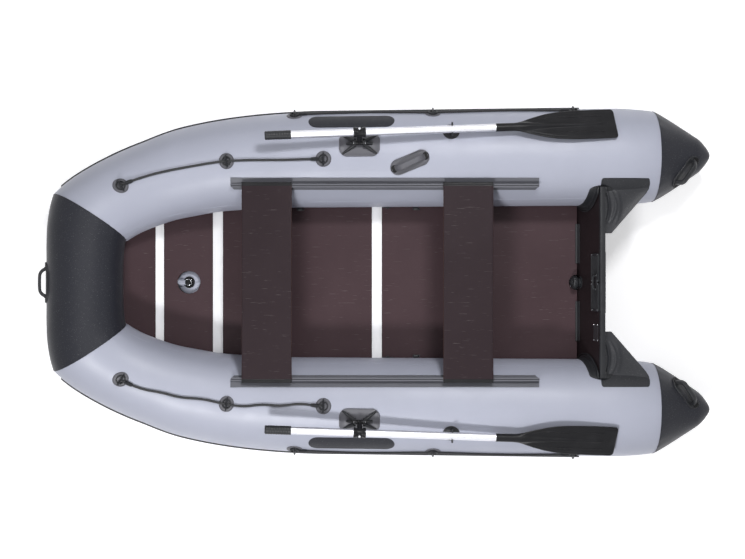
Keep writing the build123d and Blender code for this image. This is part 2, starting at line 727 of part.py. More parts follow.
# ---- seats ----
def make_rail(side):
    """Strap on the tube's shoulder with a grooved block for the seats' beads."""
    length = RAIL_FORE_X - RAIL_AFT_X
    middle = (RAIL_FORE_X + RAIL_AFT_X) / 2
    across = (RAIL_INNER + RAIL_OUTER) / 2
    column = Pos(middle, across, RAIL_MIDDLE_Z) * Box(length, RAIL_OUTER - RAIL_INNER, 120)
    strap = (column & straight_tube(RAIL_STRAP)) + (column & bent_tube(RAIL_STRAP))
    block = Pos(middle, RAIL_Y, RAIL_TOP - 30) * Box(length, RAIL_BLOCK, 60)
    body = strap + block
    body = body - straight_tube(SEAT_GAP) - bent_tube(SEAT_GAP)
    z = RAIL_TOP - BEAD_RADIUS - 1.6
    groove = Pos(middle, RAIL_Y, z) * Rot(0, 90, 0) * Cylinder(BEAD_RADIUS + RUN_GAP, length + 20)
    slot = Pos(middle, RAIL_Y, z + 10) * Box(length + 20, BEAD_NECK + 2 * RUN_GAP, 20)
    body = body - groove - slot
    for x in (RAIL_FORE_X, RAIL_AFT_X):
        notch = Pos(x, RAIL_INNER, RAIL_MIDDLE_Z) * Rot(0, 0, 45) * Box(RAIL_END_CUT, RAIL_END_CUT, 120)
        body = body - notch
    return mirrored(group(body.solids().sort_by(SortBy.VOLUME)[-1:]), side)


def seat_underside():
    return RAIL_TOP + SEAT_GAP + SLIDER_THICK


def make_seat(name):
    body = Pos(SEAT_X[name], 0, seat_underside() + SEAT_THICK / 2 + FIT) * Box(
        SEAT_WIDTH, 2 * SEAT_HALF_SPAN, SEAT_THICK
    )
    body = fillet(body.edges().filter_by(Axis.Z), SEAT_CORNER)
    rims = body.faces().sort_by(Axis.Z)
    return fillet(rims[-1].edges() + rims[0].edges(), 3.0)


def make_sliders(name):
    """Bead strips under the seat's two ends that run in the rails."""
    strips = []
    x = SEAT_X[name]
    z = RAIL_TOP - BEAD_RADIUS - 1.6
    flange_z = seat_underside() - SLIDER_THICK / 2
    for side in SIDES.values():
        y = side * RAIL_Y
        bead = Pos(x, y, z) * Rot(0, 90, 0) * Cylinder(BEAD_RADIUS, SLIDER_LENGTH)
        neck = Pos(x, y, (z + flange_z) / 2) * Box(SLIDER_LENGTH, BEAD_NECK, flange_z - z)
        flange = Pos(x, y, flange_z) * Box(SLIDER_LENGTH, SLIDER_WIDTH, SLIDER_THICK)
        strips.append(bead + neck + flange)
    return group(strips)


# ---- oarlocks and oars, port side ----
def barrel_centre():
    centre, _, radius = hull_at(LOCK_X)
    skin = centre.Z + sqrt(radius**2 - LOCK_OFFSET**2)
    return Vector(LOCK_X, centre.Y + LOCK_OFFSET, skin + BARREL_LIFT)


def lean_way():
    return Vector(0, sin(radians(STALK_LEAN)), cos(radians(STALK_LEAN)))


def oar_pivot():
    return barrel_centre() + lean_way() * STALK_LENGTH


def oar_way():
    """Direction of the oar from the oarlock to the blade."""
    return Vector(-1, OAR_SPLAY, -OAR_FALL).normalized()


def oar_plane(reach):
    """Plane across the oar at a distance from the oarlock, local Z to the blade's end.

    Local X lies across the blade."""
    tilt = radians(BLADE_TILT)
    along = oar_way()
    wide = Vector(0, cos(tilt), -sin(tilt))
    wide = (wide - along * wide.dot(along)).normalized()
    return Plane(origin=oar_pivot() + along * reach, x_dir=wide, z_dir=along)


def make_lock_base(side):
    length, width, thick = LOCK_BASE
    rib_width, rib_height = LOCK_RIB
    axis = barrel_centre()
    tall = Pos(LOCK_X, axis.Y - 4, axis.Z)
    outline = RectangleRounded(length, width, LOCK_BASE_ROUND)
    plate = extrude(tall * Pos(0, 0, -90) * outline, 180) & straight_tube(thick)
    bars = []
    for sign in (1, -1):
        angle = sign * degrees(atan(width / length))
        bars.append(tall * Rot(0, 0, angle) * Box(length * 0.95, rib_width, 180))
    margin = LOCK_BASE_MARGIN
    field = RectangleRounded(length - 2 * margin, width - 2 * margin, LOCK_BASE_ROUND - margin)
    inside = extrude(tall * Pos(0, 0, -90) * field, 180)
    ribs = ((bars[0] + bars[1]) & straight_tube(rib_height)) & inside
    body = plate + ribs
    for sign in (1, -1):
        x = LOCK_X + sign * (BARREL_LENGTH / 2 + RUN_GAP + LUG_THICK / 2)
        knuckle = Pos(x, axis.Y, axis.Z) * Rot(0, 90, 0) * Cylinder(BARREL_RADIUS, LUG_THICK)
        foot = Pos(x, axis.Y, axis.Z - 20) * Box(LUG_THICK, 2 * BARREL_RADIUS + 8, 40)
        body = body + knuckle + foot
    body = body - straight_tube(SEAT_GAP)
    pin_length = BARREL_LENGTH + 2 * RUN_GAP + 2 * LUG_THICK
    body = body + Pos(*axis) * Rot(0, 90, 0) * Cylinder(BARREL_PIN, pin_length)
    return mirrored(group(body.solids().sort_by(SortBy.VOLUME)[-1:]), side)


def make_lock_stalk(side):
    """Barrel on the base's pin with the leaning stalk and its upper pin."""
    axis = barrel_centre()
    barrel = Pos(*axis) * Rot(0, 90, 0) * Cylinder(BARREL_RADIUS, BARREL_LENGTH)
    place = Plane(origin=axis, x_dir=(1, 0, 0), z_dir=lean_way())
    shoulder = STALK_LENGTH - BOSS_REACH - RUN_GAP
    stalk = extrude(place * Circle(STALK_RADIUS), shoulder)
    pin = extrude(place * Circle(STALK_PIN), STALK_LENGTH - COLLAR_RADIUS - RUN_GAP)
    body = barrel + stalk + pin
    body = body - Pos(*axis) * Rot(0, 90, 0) * Cylinder(BARREL_PIN + RUN_GAP, BARREL_LENGTH + 2)
    return mirrored(body, side)


def make_collar(side):
    """Waisted sleeve clamped on the oar, with a boss that turns on the stalk's pin."""
    half = COLLAR_LENGTH / 2
    outline = [
        (OAR_RADIUS + FIT, -half), (COLLAR_RADIUS, -half), (COLLAR_RADIUS, -half + 9),
        (COLLAR_WAIST, -half + 15), (COLLAR_WAIST, half - 15), (COLLAR_RADIUS, half - 9),
        (COLLAR_RADIUS, half), (OAR_RADIUS + FIT, half),
    ]
    place = oar_plane(0)
    face = Plane.XZ * make_face(Polyline(*outline, close=True))
    sleeve = place * revolve(face, Axis.Z)
    stalk = Plane(origin=barrel_centre(), x_dir=(1, 0, 0), z_dir=lean_way())
    boss = extrude(stalk * Pos(0, 0, STALK_LENGTH - BOSS_REACH) * Circle(BOSS_RADIUS), BOSS_REACH - 18)
    mouth = STALK_LENGTH - BOSS_REACH - 5
    bore_end = STALK_LENGTH - COLLAR_RADIUS + 1
    bore = extrude(stalk * Pos(0, 0, mouth) * Circle(STALK_PIN + RUN_GAP), bore_end - mouth)
    tunnel = extrude(place * Pos(0, 0, -60) * Circle(OAR_RADIUS + FIT), 120)
    body = sleeve + boss - bore - tunnel
    return mirrored(group(body.solids().sort_by(SortBy.VOLUME)[-1:]), side)


def make_oar_shaft(side):
    start = -GRIP_REACH + 4
    stop = BLADE_START + FERRULE_LENGTH - 20
    body = extrude(oar_plane(start) * Circle(OAR_RADIUS), stop - start)
    return mirrored(body, side)


def make_oar_grip(side):
    """Rubber sleeve with ring grooves, on the shaft's inner end."""
    start = -GRIP_REACH
    sleeve = Pos(0, 0, GRIP_LENGTH / 2) * Cylinder(GRIP_RADIUS, GRIP_LENGTH)
    sleeve = fillet(sleeve.edges().filter_by(GeomType.CIRCLE), 4.0)
    pitch = GRIP_LENGTH / (GRIP_RINGS + 2)
    for i in range(GRIP_RINGS):
        sleeve = sleeve - Pos(0, 0, (i + 1.5) * pitch) * Torus(GRIP_RADIUS, GRIP_GROOVE)
    hole = extrude(oar_plane(start + 4 - FIT) * Circle(OAR_RADIUS + FIT), GRIP_LENGTH)
    return mirrored(oar_plane(start).location * sleeve - hole, side)


def make_oar_blade(side):
    """Moulded blade: ferrule, ridge that fades out, and a flat paddle with grooves and a hole."""
    ferrule = extrude(oar_plane(BLADE_START) * Circle(FERRULE_RADIUS), FERRULE_LENGTH)
    ridge_start = BLADE_START + FERRULE_LENGTH
    ridge_length = BLADE_END - ridge_start - 40
    ridge = loft([
        oar_plane(ridge_start - 5) * Circle(FERRULE_RADIUS - 1),
        oar_plane(ridge_start + 90) * Circle(BLADE_RIDGE),
        oar_plane(ridge_start + ridge_length) * Circle(BLADE_THICK * 0.6),
    ], ruled=True)
    tip = BLADE_END - BLADE_START - 40
    half = BLADE_HALF_WIDTH
    plane = oar_plane(BLADE_START + 40)
    flat = Plane(origin=plane.origin, x_dir=plane.z_dir, z_dir=plane.z_dir.cross(plane.x_dir))
    with BuildSketch(flat) as sketch:
        with BuildLine():
            upper = Spline(
                (0, 14), (70, 24), (150, 56), (270, half), (tip - 26, half - 4),
                tangents=((1, 0), (1, -0.06)),
            )
            Line(upper @ 1, (tip, half - 30))
            Line((tip, half - 30), (tip - 8, -half + 30))
            lower = Spline(
                (0, -14), (70, -24), (150, -56), (270, -half), (tip - 34, -half + 4),
                tangents=((1, 0), (1, 0.06)),
            )
            Line(lower @ 1, (tip - 8, -half + 30))
            Line((0, 14), (0, -14))
        make_face()
    paddle = extrude(sketch.sketch, BLADE_THICK / 2, both=True)
    length, width, depth = BLADE_GROOVE
    groove = extrude(SlotOverall(length, width), depth, both=True)
    for x in (1, -1):
        for face in (1, -1):
            spot = Pos(tip - 50 - length / 2, x * BLADE_GROOVE_Y, face * BLADE_THICK / 2)
            paddle = paddle - flat.location * spot * groove
    body = ferrule + ridge + paddle
    body = body - flat.location * Pos(tip - 25, 0, 0) * extrude(SlotOverall(*BLADE_HOLE), 20, both=True)
    body = body - extrude(oar_plane(BLADE_START - 1) * Circle(OAR_RADIUS + FIT), FERRULE_LENGTH - 18)
    return mirrored(group(body.solids().sort_by(SortBy.VOLUME)[-1:]), side)


def make_oar_rest():
    """Low saddle on the tube under the stowed oar's shaft."""
    place = hull_plane(REST_X, REST_ANGLE)
    disc = place * Cylinder(REST_RADIUS, 4 * REST_DISC)
    lug = place * Pos(0, 0, REST_LUG[2] / 2) * Box(*REST_LUG)
    body = (disc & straight_tube(REST_DISC)) + lug - straight_tube(SEAT_GAP)
    along = oar_way()
    reach = (LOCK_X - REST_X) / -along.X
    swept = extrude(oar_plane(reach) * Circle(OAR_RADIUS + REST_PLAY), 60, both=True)
    body = body - swept
    return both_sides(group(body.solids().sort_by(SortBy.VOLUME)[-1:]))


# ---- grab lines ----
def rope_lift():
    return ROPE_RADIUS + 1.2


def make_eye(x, angle):
    """Round rubber pad with a raised ring, and a bridge across it over the line."""
    rim = EYE_RADIUS
    inner, outer, height = EYE_RING
    outline = [
        (0, -8), (rim, -8), (rim, 1), (rim - 2, 3), (outer + 2, 4), (outer, height - 1),
        (outer - 2, height), (inner + 2, height), (inner, 5), (0, 4),
    ]
    body = revolve(Plane.XZ * make_face(Polyline(*outline, close=True)), Axis.Z)
    width, top = EYE_BRIDGE
    body = body + Pos(0, 0, top / 2) * Box(width, inner + outer, top)
    body = hull_plane(x, angle).location * body
    body = body - straight_tube(SEAT_GAP) - bent_tube(SEAT_GAP)
    return body.solids().sort_by(SortBy.VOLUME)[-1]


def make_eyes(places, slacks):
    """Eyes of both sides, each bored by its own side's line."""
    eyes = [make_eye(x, angle) for x, angle in places]
    found = []
    for name, side in SIDES.items():
        bore = line_solid(line_route(places, slacks[name]), ROPE_RADIUS + SEAT_GAP)
        for eye in eyes:
            bored = eye - bore
            found.append(mirrored(bored.solids().sort_by(SortBy.VOLUME)[-1], side))
    return group(found)


# Offsets of the lines from the straight way between eyes: share of the way, degrees round the
# tube, and side to side they lie as they fell.
INNER_SLACK = {
    "port": [(0.17, -2.0), (0.37, 2.2), (0.55, 0.5), (0.76, 3.4), (0.92, 0.8)],
    "starboard": [(0.18, 0.6), (0.38, 1.4), (0.58, 1.8), (0.79, 1.0), (0.93, 0.3)],
}
OUTER_SLACK = {
    "port": [(0.15, -1.5), (0.32, -4.0), (0.5, -5.0), (0.68, -4.2), (0.85, -1.8)],
    "starboard": [(0.16, -1.2), (0.33, -3.2), (0.51, -4.4), (0.69, -3.4), (0.86, -1.2)],
}


def line_route(eyes, slack):
    """Points of a grab line along the port tube from the first eye to the last."""
    points = []
    for (x0, a0), (x1, a1) in zip(eyes, eyes[1:]):
        points.append(hull_plane(x0, a0, rope_lift()).origin)
        for share, turn in slack:
            x = x0 + (x1 - x0) * share
            angle = a0 + (a1 - a0) * share + turn
            points.append(hull_plane(x, angle, rope_lift()).origin)
    x, angle = eyes[-1]
    points.append(hull_plane(x, angle, rope_lift()).origin)
    return points


def corner_radii(points):
    """Largest arcs that two neighbouring runs allow, 0.45 of the shorter run each."""
    radii = []
    for a, b, c in zip(points, points[1:], points[2:]):
        turn = radians((b - a).get_angle(c - b))
        shorter = min((b - a).length, (c - b).length)
        radii.append(0.45 * shorter / tan(turn / 2))
    return radii


def line_path(points):
    return FilletPolyline(*points, radius=corner_radii(points))


def line_solid(points, radius):
    path = line_path(points)
    return sweep(Plane(origin=path @ 0, z_dir=path % 0) * Circle(radius), path)


def make_line(name, eyes, slack, side):
    points = line_route(eyes, slack)
    print(name, "radii", [round(r) for r in corner_radii(points)])
    print(name, "length", round(line_path(points).length, 1))
    return mirrored(line_solid(points, ROPE_RADIUS), side)


# ---- handles and trim ----
def make_handle(place, hull):
    """Moulded handle: oblong tray cut to the hull, two round pockets and an arched grip."""
    top = HANDLE_BASE
    base = extrude(Pos(0, 0, -26) * SlotOverall(HANDLE_LENGTH, HANDLE_WIDTH), 26 + top)
    rim, depth = HANDLE_RIM
    tray = SlotOverall(HANDLE_LENGTH - 2 * rim, HANDLE_WIDTH - 2 * rim)
    body = base - extrude(Pos(0, 0, top - depth) * tray, 10)
    reach, outer, inner = HANDLE_POCKET
    for x in (-reach, reach):
        body = body + Pos(x, 0, top - depth) * Cylinder(outer, 2 * depth)
        body = body - Pos(x, 0, top) * Cylinder(inner, 2 * top - 4)
    foot = HANDLE_FOOT
    shoulder = foot - 22
    crown = HANDLE_RISE - HANDLE_GRIP
    arch_line = FilletPolyline(
        (-foot, 0, top - 4), (-shoulder, 0, crown), (shoulder, 0, crown), (foot, 0, top - 4),
        radius=HANDLE_ARCH_ROUND,
    )
    body = body + sweep(Plane(origin=arch_line @ 0, z_dir=arch_line % 0) * Circle(HANDLE_GRIP), arch_line)
    body = place.location * body - hull
    return group(body.solids().sort_by(SortBy.VOLUME)[-1:])


def bow_handle_plane():
    angle = radians(BOW_HANDLE_ANGLE)
    normal = Vector(cos(angle), 0, sin(angle))
    origin = Vector(BOW_X, 0, BOW_HEIGHT) + normal * BOW_RADIUS
    return Plane(origin=origin, x_dir=(0, 1, 0), z_dir=normal)


def turned(plane, angle):
    """The plane turned about its own normal, in degrees."""
    return Plane(plane.location * Rot(0, 0, angle))


def make_carry_handle():
    place = turned(hull_plane(CARRY_X, CARRY_ANGLE), CARRY_TURN)
    return mirrored(make_handle(place, straight_tube(SEAT_GAP)), -1)


def make_cone_handles():
    place = turned(cone_plane(CONE_HANDLE_S, CONE_HANDLE_ANGLE), CONE_HANDLE_TURN)
    hull = cone(SEAT_GAP)
    return both_sides(make_handle(place, hull) - straight_tube(SEAT_GAP))


def make_tie_down(x, side):
    """Patch low on the tube's inboard side, its strap running aft to a buckle."""
    place = hull_plane(x, TIE_ANGLE, 0)
    length = TIE_STRAP[0]
    patch = place * Pos(0, 0, 1) * Cylinder(TIE_PATCH, 6)
    ring = place * Pos(0, 0, TIE_LIFT) * Box(*TIE_RING)
    strap = place * Pos(-length / 2, 0, TIE_LIFT) * Box(*TIE_STRAP)
    buckle = place * Pos(-length, 0, TIE_LIFT) * Box(*TIE_BUCKLE)
    body = patch + ring + strap + buckle - straight_tube(SEAT_GAP) - bent_tube(SEAT_GAP)
    return mirrored(body.solids().sort_by(SortBy.VOLUME)[-1], side)


def make_tie_downs():
    return group([make_tie_down(x, SIDES[name]) for name, x in TIE_DOWNS])


def make_side_patches():
    low, high = PATCH_ANGLES
    centre, _, radius = hull_at(PATCH_X)
    width = radians(high - low) * radius
    place = hull_plane(PATCH_X, (low + high) / 2, -30)
    block = extrude(place * SlotOverall(PATCH_LENGTH, width), 50)
    skin = (block & straight_tube(PATCH_THICK)) + (block & bent_tube(PATCH_THICK))
    skin = skin - straight_tube(SEAT_GAP) - bent_tube(SEAT_GAP)
    return both_sides(group(skin.solids().sort_by(SortBy.VOLUME)[-1:]))


def strake_section(centre, heading, radius):
    """Trapezium whose broad side lies inside the tube's skin."""
    outward = Vector(0, 0, 1).cross(heading).normalized()
    up = heading.cross(outward)
    angle = radians(STRAKE_ANGLE)
    normal = outward * cos(angle) + up * sin(angle)
    plane = Plane(origin=centre + normal * radius, x_dir=normal, z_dir=heading)
    half = STRAKE_HEIGHT / 2
    corners = [
        (-8, -half), (3, -half), (STRAKE_THICK, -half + 9), (STRAKE_THICK, half - 9),
        (3, half), (-8, half),
    ]
    return plane * make_face(Polyline(*corners, close=True))


def make_strake(side):
    """Rub strake from the cone seam to the bow seam."""
    straight = loft([
        strake_section(STERN, AHEAD, TUBE_RADIUS),
        strake_section(KNUCKLE, AHEAD, KNUCKLE_RADIUS),
    ], ruled=True)
    steps = 8
    sections = []
    for i in range(steps + 1):
        u = i / steps
        sections.append(strake_section(bezier(SIDE, u), bezier_tangent(SIDE, u), side_radius(u)))
    past = SEAM + bezier_tangent(SIDE, 1) * 90
    sections.append(strake_section(past, bezier_tangent(SIDE, 1), SEAM_RADIUS))
    bent = split(loft(sections), bisect_by=Plane(origin=SEAM, z_dir=SEAM_NORMAL), keep=Keep.BOTTOM)
    body = straight + bent
    body = body - straight_tube(SEAT_GAP) - bent_tube(SEAT_GAP)
    return mirrored(group(body.solids().sort_by(SortBy.VOLUME)[-1:]), side)


def make_all():
    parts = {
        "bow_segment": bow_tube(),
        "bottom_panel": make_bottom_panel(),
        "keel_tube": make_keel_tube(),
        "keel_guard": make_keel_guard(),
        "keel_valve": make_keel_valve(),
        "transom_board": transom_board(),
        "transom_edge_cap": make_edge_cap(),
        "transom_holders": both_sides(holder()),
        "motor_pad_inner": make_motor_pad_inner(),
        "motor_pad_outer": make_motor_pad_outer(),
        "blank_plate": make_blank_plate(),
        "drain_valve": make_drain_valve(),
        "floor_clamps": make_floor_clamps(),
        "oar_rests": make_oar_rest(),
        "inner_line_eyes": make_eyes(INNER_EYES, INNER_SLACK),
        "outer_line_eyes": make_eyes(OUTER_EYES, OUTER_SLACK),
        "bow_handle": make_handle(bow_handle_plane(), bow_tube(SEAT_GAP)),
        "carry_handle": make_carry_handle(),
        "cone_handles": make_cone_handles(),
        "side_patches": make_side_patches(),
        "tie_downs": make_tie_downs(),
    }
    for index in range(len(PROFILE_X) + 1):
        parts[f"floor_board_{index + 1}"] = make_board(index)
    for index in range(len(PROFILE_X)):
        parts[f"floor_profile_{index + 1}"] = make_profile(index)
    for name in SEAT_X:
        parts[f"seat_board_{name}"] = make_seat(name)
        parts[f"seat_sliders_{name}"] = make_sliders(name)
    for name, side in SIDES.items():
        parts[f"tube_{name}"] = make_tube(side)
        parts[f"cone_{name}"] = mirrored(cone(), side)
        parts[f"gusset_{name}"] = make_gusset(side)
        parts[f"rub_strake_{name}"] = make_strake(side)
        parts[f"seat_rail_{name}"] = make_rail(side)
        parts[f"oarlock_base_{name}"] = make_lock_base(side)
        parts[f"oarlock_stalk_{name}"] = make_lock_stalk(side)
        parts[f"oar_collar_{name}"] = make_collar(side)
        parts[f"oar_shaft_{name}"] = make_oar_shaft(side)
        parts[f"oar_grip_{name}"] = make_oar_grip(side)
        parts[f"oar_blade_{name}"] = make_oar_blade(side)
        line = f"grab_line_inner_{name}"
        parts[line] = make_line(line, INNER_EYES, INNER_SLACK[name], side)
        line = f"grab_line_outer_{name}"
        parts[line] = make_line(line, OUTER_EYES, OUTER_SLACK[name], side)
    return parts


os.makedirs("parts", exist_ok=True)
for node, shape in make_all().items():
    export_step(shape, f"parts/{node}.step")
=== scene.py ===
"""Inflatable boat with slatted floor, two sliding benches, transom and stowed oars.

Metres. +X is the bow, +Y is port, +Z is up. Lengths follow the CAD part's named values.
"""

import bpy
import numpy as np
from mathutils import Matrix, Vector


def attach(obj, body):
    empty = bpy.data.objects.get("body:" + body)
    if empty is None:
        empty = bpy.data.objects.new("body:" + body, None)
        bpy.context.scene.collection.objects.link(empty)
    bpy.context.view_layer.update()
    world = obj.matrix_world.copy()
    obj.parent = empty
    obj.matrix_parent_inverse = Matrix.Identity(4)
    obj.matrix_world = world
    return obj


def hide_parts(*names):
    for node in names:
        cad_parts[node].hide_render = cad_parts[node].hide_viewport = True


bl_info = {
    "name": "Inflatable Boat",
    "version": (1, 0, 0),
    "blender": (4, 5, 0),
    "location": "3D View > Sidebar > Boat",
    "description": "Builds the looks of an inflatable boat round its CAD frame",
    "category": "Add Mesh",
}

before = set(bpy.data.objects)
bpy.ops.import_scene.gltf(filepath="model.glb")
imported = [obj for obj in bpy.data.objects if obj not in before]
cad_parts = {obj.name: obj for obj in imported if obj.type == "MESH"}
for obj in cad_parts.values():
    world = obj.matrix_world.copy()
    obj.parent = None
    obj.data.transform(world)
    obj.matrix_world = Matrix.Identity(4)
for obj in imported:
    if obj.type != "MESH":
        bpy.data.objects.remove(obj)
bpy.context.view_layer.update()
SIDES = {"port": 1, "starboard": -1}

# ---- hull sizes, in metres ----
STERN = np.array((-1.336, 0.610, 0.235))
KNUCKLE = np.array((0.271, 0.595, 0.230))
SEAM = np.array((1.351, 0.300, 0.391))
AHEAD = (KNUCKLE - STERN) / np.linalg.norm(KNUCKLE - STERN)
SEAM_AIM = np.radians(47.0)
SIDE_CURVE = np.array((
    KNUCKLE,
    KNUCKLE + AHEAD * 0.500,
    SEAM - np.array((np.cos(SEAM_AIM), -np.sin(SEAM_AIM), 0)) * 0.300 - (0, 0, 0.105),
    SEAM,
))
BOW_SWEEP = np.radians(19.0)
BOW_CURVE = np.array((
    (1.381, 0, 0.400),
    (1.381, 0.150, 0.400),
    SEAM + np.array((np.sin(BOW_SWEEP), -np.cos(BOW_SWEEP), 0)) * 0.090 + (0, 0, 0.003),
    SEAM,
))
STERN_RADIUS = 0.235
FLOOR_HEIGHT = 0.115
STERN_DRAW = (0.216, 0.017)  # length and depth by which the tube's end draws in
KNUCKLE_RADIUS = 0.230
SEAM_RADIUS = 0.182
CORNER_BEARINGS = np.linspace(0, 100, 101)
CORNER_DEPTHS = np.convolve(np.pad(np.interp(
    CORNER_BEARINGS, (0, 12, 20, 28, 36, 42, 47, 52, 57, 63, 71, 80, 92),
    (0, 0.001, 0.005, 0.0135, 0.0225, 0.0255, 0.0195, 0.0125, 0.006, 0.0, -0.005, -0.008, 0.0)), 3,
    "edge"),
    np.hanning(9)[1:-1] / np.hanning(9)[1:-1].sum(), "valid")
BOW_RADIUS = 0.1765
CONE_LENGTH = 0.271
CONE_LIFT = 0.035
CONE_START = STERN_RADIUS - STERN_DRAW[1]
CONE_TIP = 0.042
CONE_SHAPE = 1.13
LAP = 0.0009  # how far the black fabric stands over the grey at its seams


# ---- surfaces: whole arrays of points, from formulas ----
def unit(v):
    """The vectors v, each divided by its length."""
    v = np.asarray(v, float)
    return v / np.linalg.norm(v, axis=-1, keepdims=True)


def swell(value, low, high):
    """Smooth step: 3 q^2 - 2 q^3 of the share q between low and high."""
    q = np.clip((value - low) / (high - low), 0, 1)
    return q * q * (3 - 2 * q)


def bezier(points, u):
    """Cubic Bezier: P = a v^3 + 3 b v^2 u + 3 c v u^2 + d u^3, with v = 1 - u."""
    u = np.asarray(u, float)[..., None]
    a, b, c, d = points
    v = 1 - u
    return a * v**3 + b * 3 * v * v * u + c * 3 * v * u * u + d * u**3


def bezier_way(points, u):
    """Unit direction of the same curve at u, along its derivative."""
    u = np.asarray(u, float)[..., None]
    a, b, c, d = points
    v = 1 - u
    return unit((b - a) * v * v + (c - b) * 2 * v * u + (d - c) * u * u)


def spine(t):
    """Port tube's centre, heading and radius: t 0 cone seam, 1 knuckle, 2 bow seam."""
    t = np.asarray(t, float)
    low = np.clip(t, None, 1)
    u = np.clip(t - 1, 0, 1)
    past = np.clip(t - 2, 0, None)
    straight = STERN + (KNUCKLE - STERN) * low[..., None]
    heading = np.where(t[..., None] < 1, AHEAD, bezier_way(SIDE_CURVE, u))
    centre = np.where(t[..., None] < 1, straight, bezier(SIDE_CURVE, u))
    centre = centre + heading * (0.3 * past)[..., None]
    length, depth = STERN_DRAW
    run = low * np.linalg.norm(KNUCKLE - STERN)
    radius = np.where(
        t < 1,
        STERN_RADIUS + (KNUCKLE_RADIUS - STERN_RADIUS) * low
        - depth * np.clip(1 - run / length, 0, 1) ** 2,
        KNUCKLE_RADIUS - (KNUCKLE_RADIUS - SEAM_RADIUS) * u**1.3,
    )
    return centre, heading, radius


def bow_spine(t):
    """Bow segment's port half, heading inboard: t 0 at the middle, 1 at the seam."""
    t = np.asarray(t, float)
    u = np.clip(t, 0, 1)
    heading = -bezier_way(BOW_CURVE, u)
    centre = bezier(BOW_CURVE, u) - heading * (0.2 * np.clip(t - 1, 0, None))[..., None]
    return centre, heading, BOW_RADIUS + (SEAM_RADIUS - BOW_RADIUS) * u * u


def round_way(heading, angle):
    """Unit vector out of a tube at an angle in radians: 0 outboard, pi/2 on top."""
    outward = unit(np.cross((0, 0, 1.0), heading))
    up = np.cross(heading, outward)
    angle = np.asarray(angle, float)[..., None]
    return outward * np.cos(angle) + up * np.sin(angle)


def round_skin(t, angle, lift=0.0):
    """Points on the port tube: centre(t) + (radius(t) + lift) * way(angle)."""
    t, angle, lift = np.broadcast_arrays(t, angle, lift)
    centre, heading, radius = spine(t)
    return centre + (radius + lift)[..., None] * round_way(heading, angle)


def round_bow_skin(t, angle, lift=0.0):
    """Points on the bow tube, by the same formula along its own centre line."""
    t, angle, lift = np.broadcast_arrays(t, angle, lift)
    centre, heading, radius = bow_spine(t)
    return centre + (radius + lift)[..., None] * round_way(heading, angle)


def fuller(points):
    """Moves the outer side of the bow's corners out, away from a point on the middle line,
    by a depth over the bearing from that point."""
    way = points[..., :2] - (1.0, 0.0)
    reach = np.linalg.norm(way, axis=-1)
    bearing = np.degrees(np.arctan2(np.abs(way[..., 1]), way[..., 0]))
    depth = np.interp(bearing, CORNER_BEARINGS, CORNER_DEPTHS)
    depth = depth * swell(reach, 0.34, 0.60)
    shift = way / np.maximum(reach, 0.05)[..., None] * depth[..., None]
    return points + np.concatenate([shift, 0 * shift[..., :1]], -1)


def skin(t, angle, lift=0.0):
    """Points on the port tube with the fuller corner of the bow."""
    return fuller(round_skin(t, angle, lift))


def bow_skin(t, angle, lift=0.0):
    """Points on the bow tube with the same fuller corner."""
    return fuller(round_bow_skin(t, angle, lift))


SEAM_NORMAL = unit(bezier_way(SIDE_CURVE, 1.0) - bezier_way(BOW_CURVE, 1.0))


def seam_reach(surface, angle, low, high, sign):
    """The t at which surface(t, angle) crosses the seam's plane, by halving."""
    low = np.full(angle.shape, low, float)
    high = np.full(angle.shape, high, float)
    for _ in range(30):
        middle = (low + high) / 2
        before = sign * ((surface(middle, angle) - SEAM) @ SEAM_NORMAL) < 0
        low = np.where(before, middle, low)
        high = np.where(before, high, middle)
    return (low + high) / 2


T_TABLE = np.linspace(0, 2, 801)
X_TABLE = spine(T_TABLE)[0][:, 0]


def t_of(x):
    """The t at which the port tube's centre line passes x."""
    x = np.asarray(x, float)
    behind = (x - STERN[0]) / (KNUCKLE[0] - STERN[0])
    return np.where(x < KNUCKLE[0], behind, np.interp(x, X_TABLE, T_TABLE))


def on_tube(x0, angle0, turn=0.0, side=1):
    """Place on a tube: local x along it, y across its curve, z out of its skin."""
    c, s = np.cos(np.radians(turn)), np.sin(np.radians(turn))
    _, heading, radius = spine(t_of(x0))

    def place(points):
        x = points[..., 0] * c - points[..., 1] * s
        y = points[..., 0] * s + points[..., 1] * c
        found = skin(t_of(x0 + x * heading[0]), np.radians(angle0) - y / radius, points[..., 2])
        return found * (1, side, 1)

    return place


def on_bow(angle0):
    """Place on the bow segment's middle: local x to port, y up round it, z out."""

    def place(points):
        angle = np.radians(angle0) + points[..., 1] / BOW_RADIUS
        reach = BOW_RADIUS + points[..., 2]
        x = BOW_CURVE[0][0] + reach * np.cos(angle)
        return np.stack([x, points[..., 0], BOW_CURVE[0][2] + reach * np.sin(angle)], -1)

    return place


def cone_radius(s):
    """Radius of the stern cone: start - (start - tip) * s^shape, s from 0 to 1."""
    return CONE_START - (CONE_START - CONE_TIP) * np.maximum(s, 0) ** CONE_SHAPE


def cone_spine(s):
    """Centre and heading of the stern cone's rings: a straight run plus a lift of s^2."""
    up = np.array((0, 0, CONE_LIFT))
    s = np.asarray(s, float)[..., None]
    return STERN - AHEAD * (CONE_LENGTH * s) + up * s**2, unit(AHEAD * CONE_LENGTH - 2 * up * s)


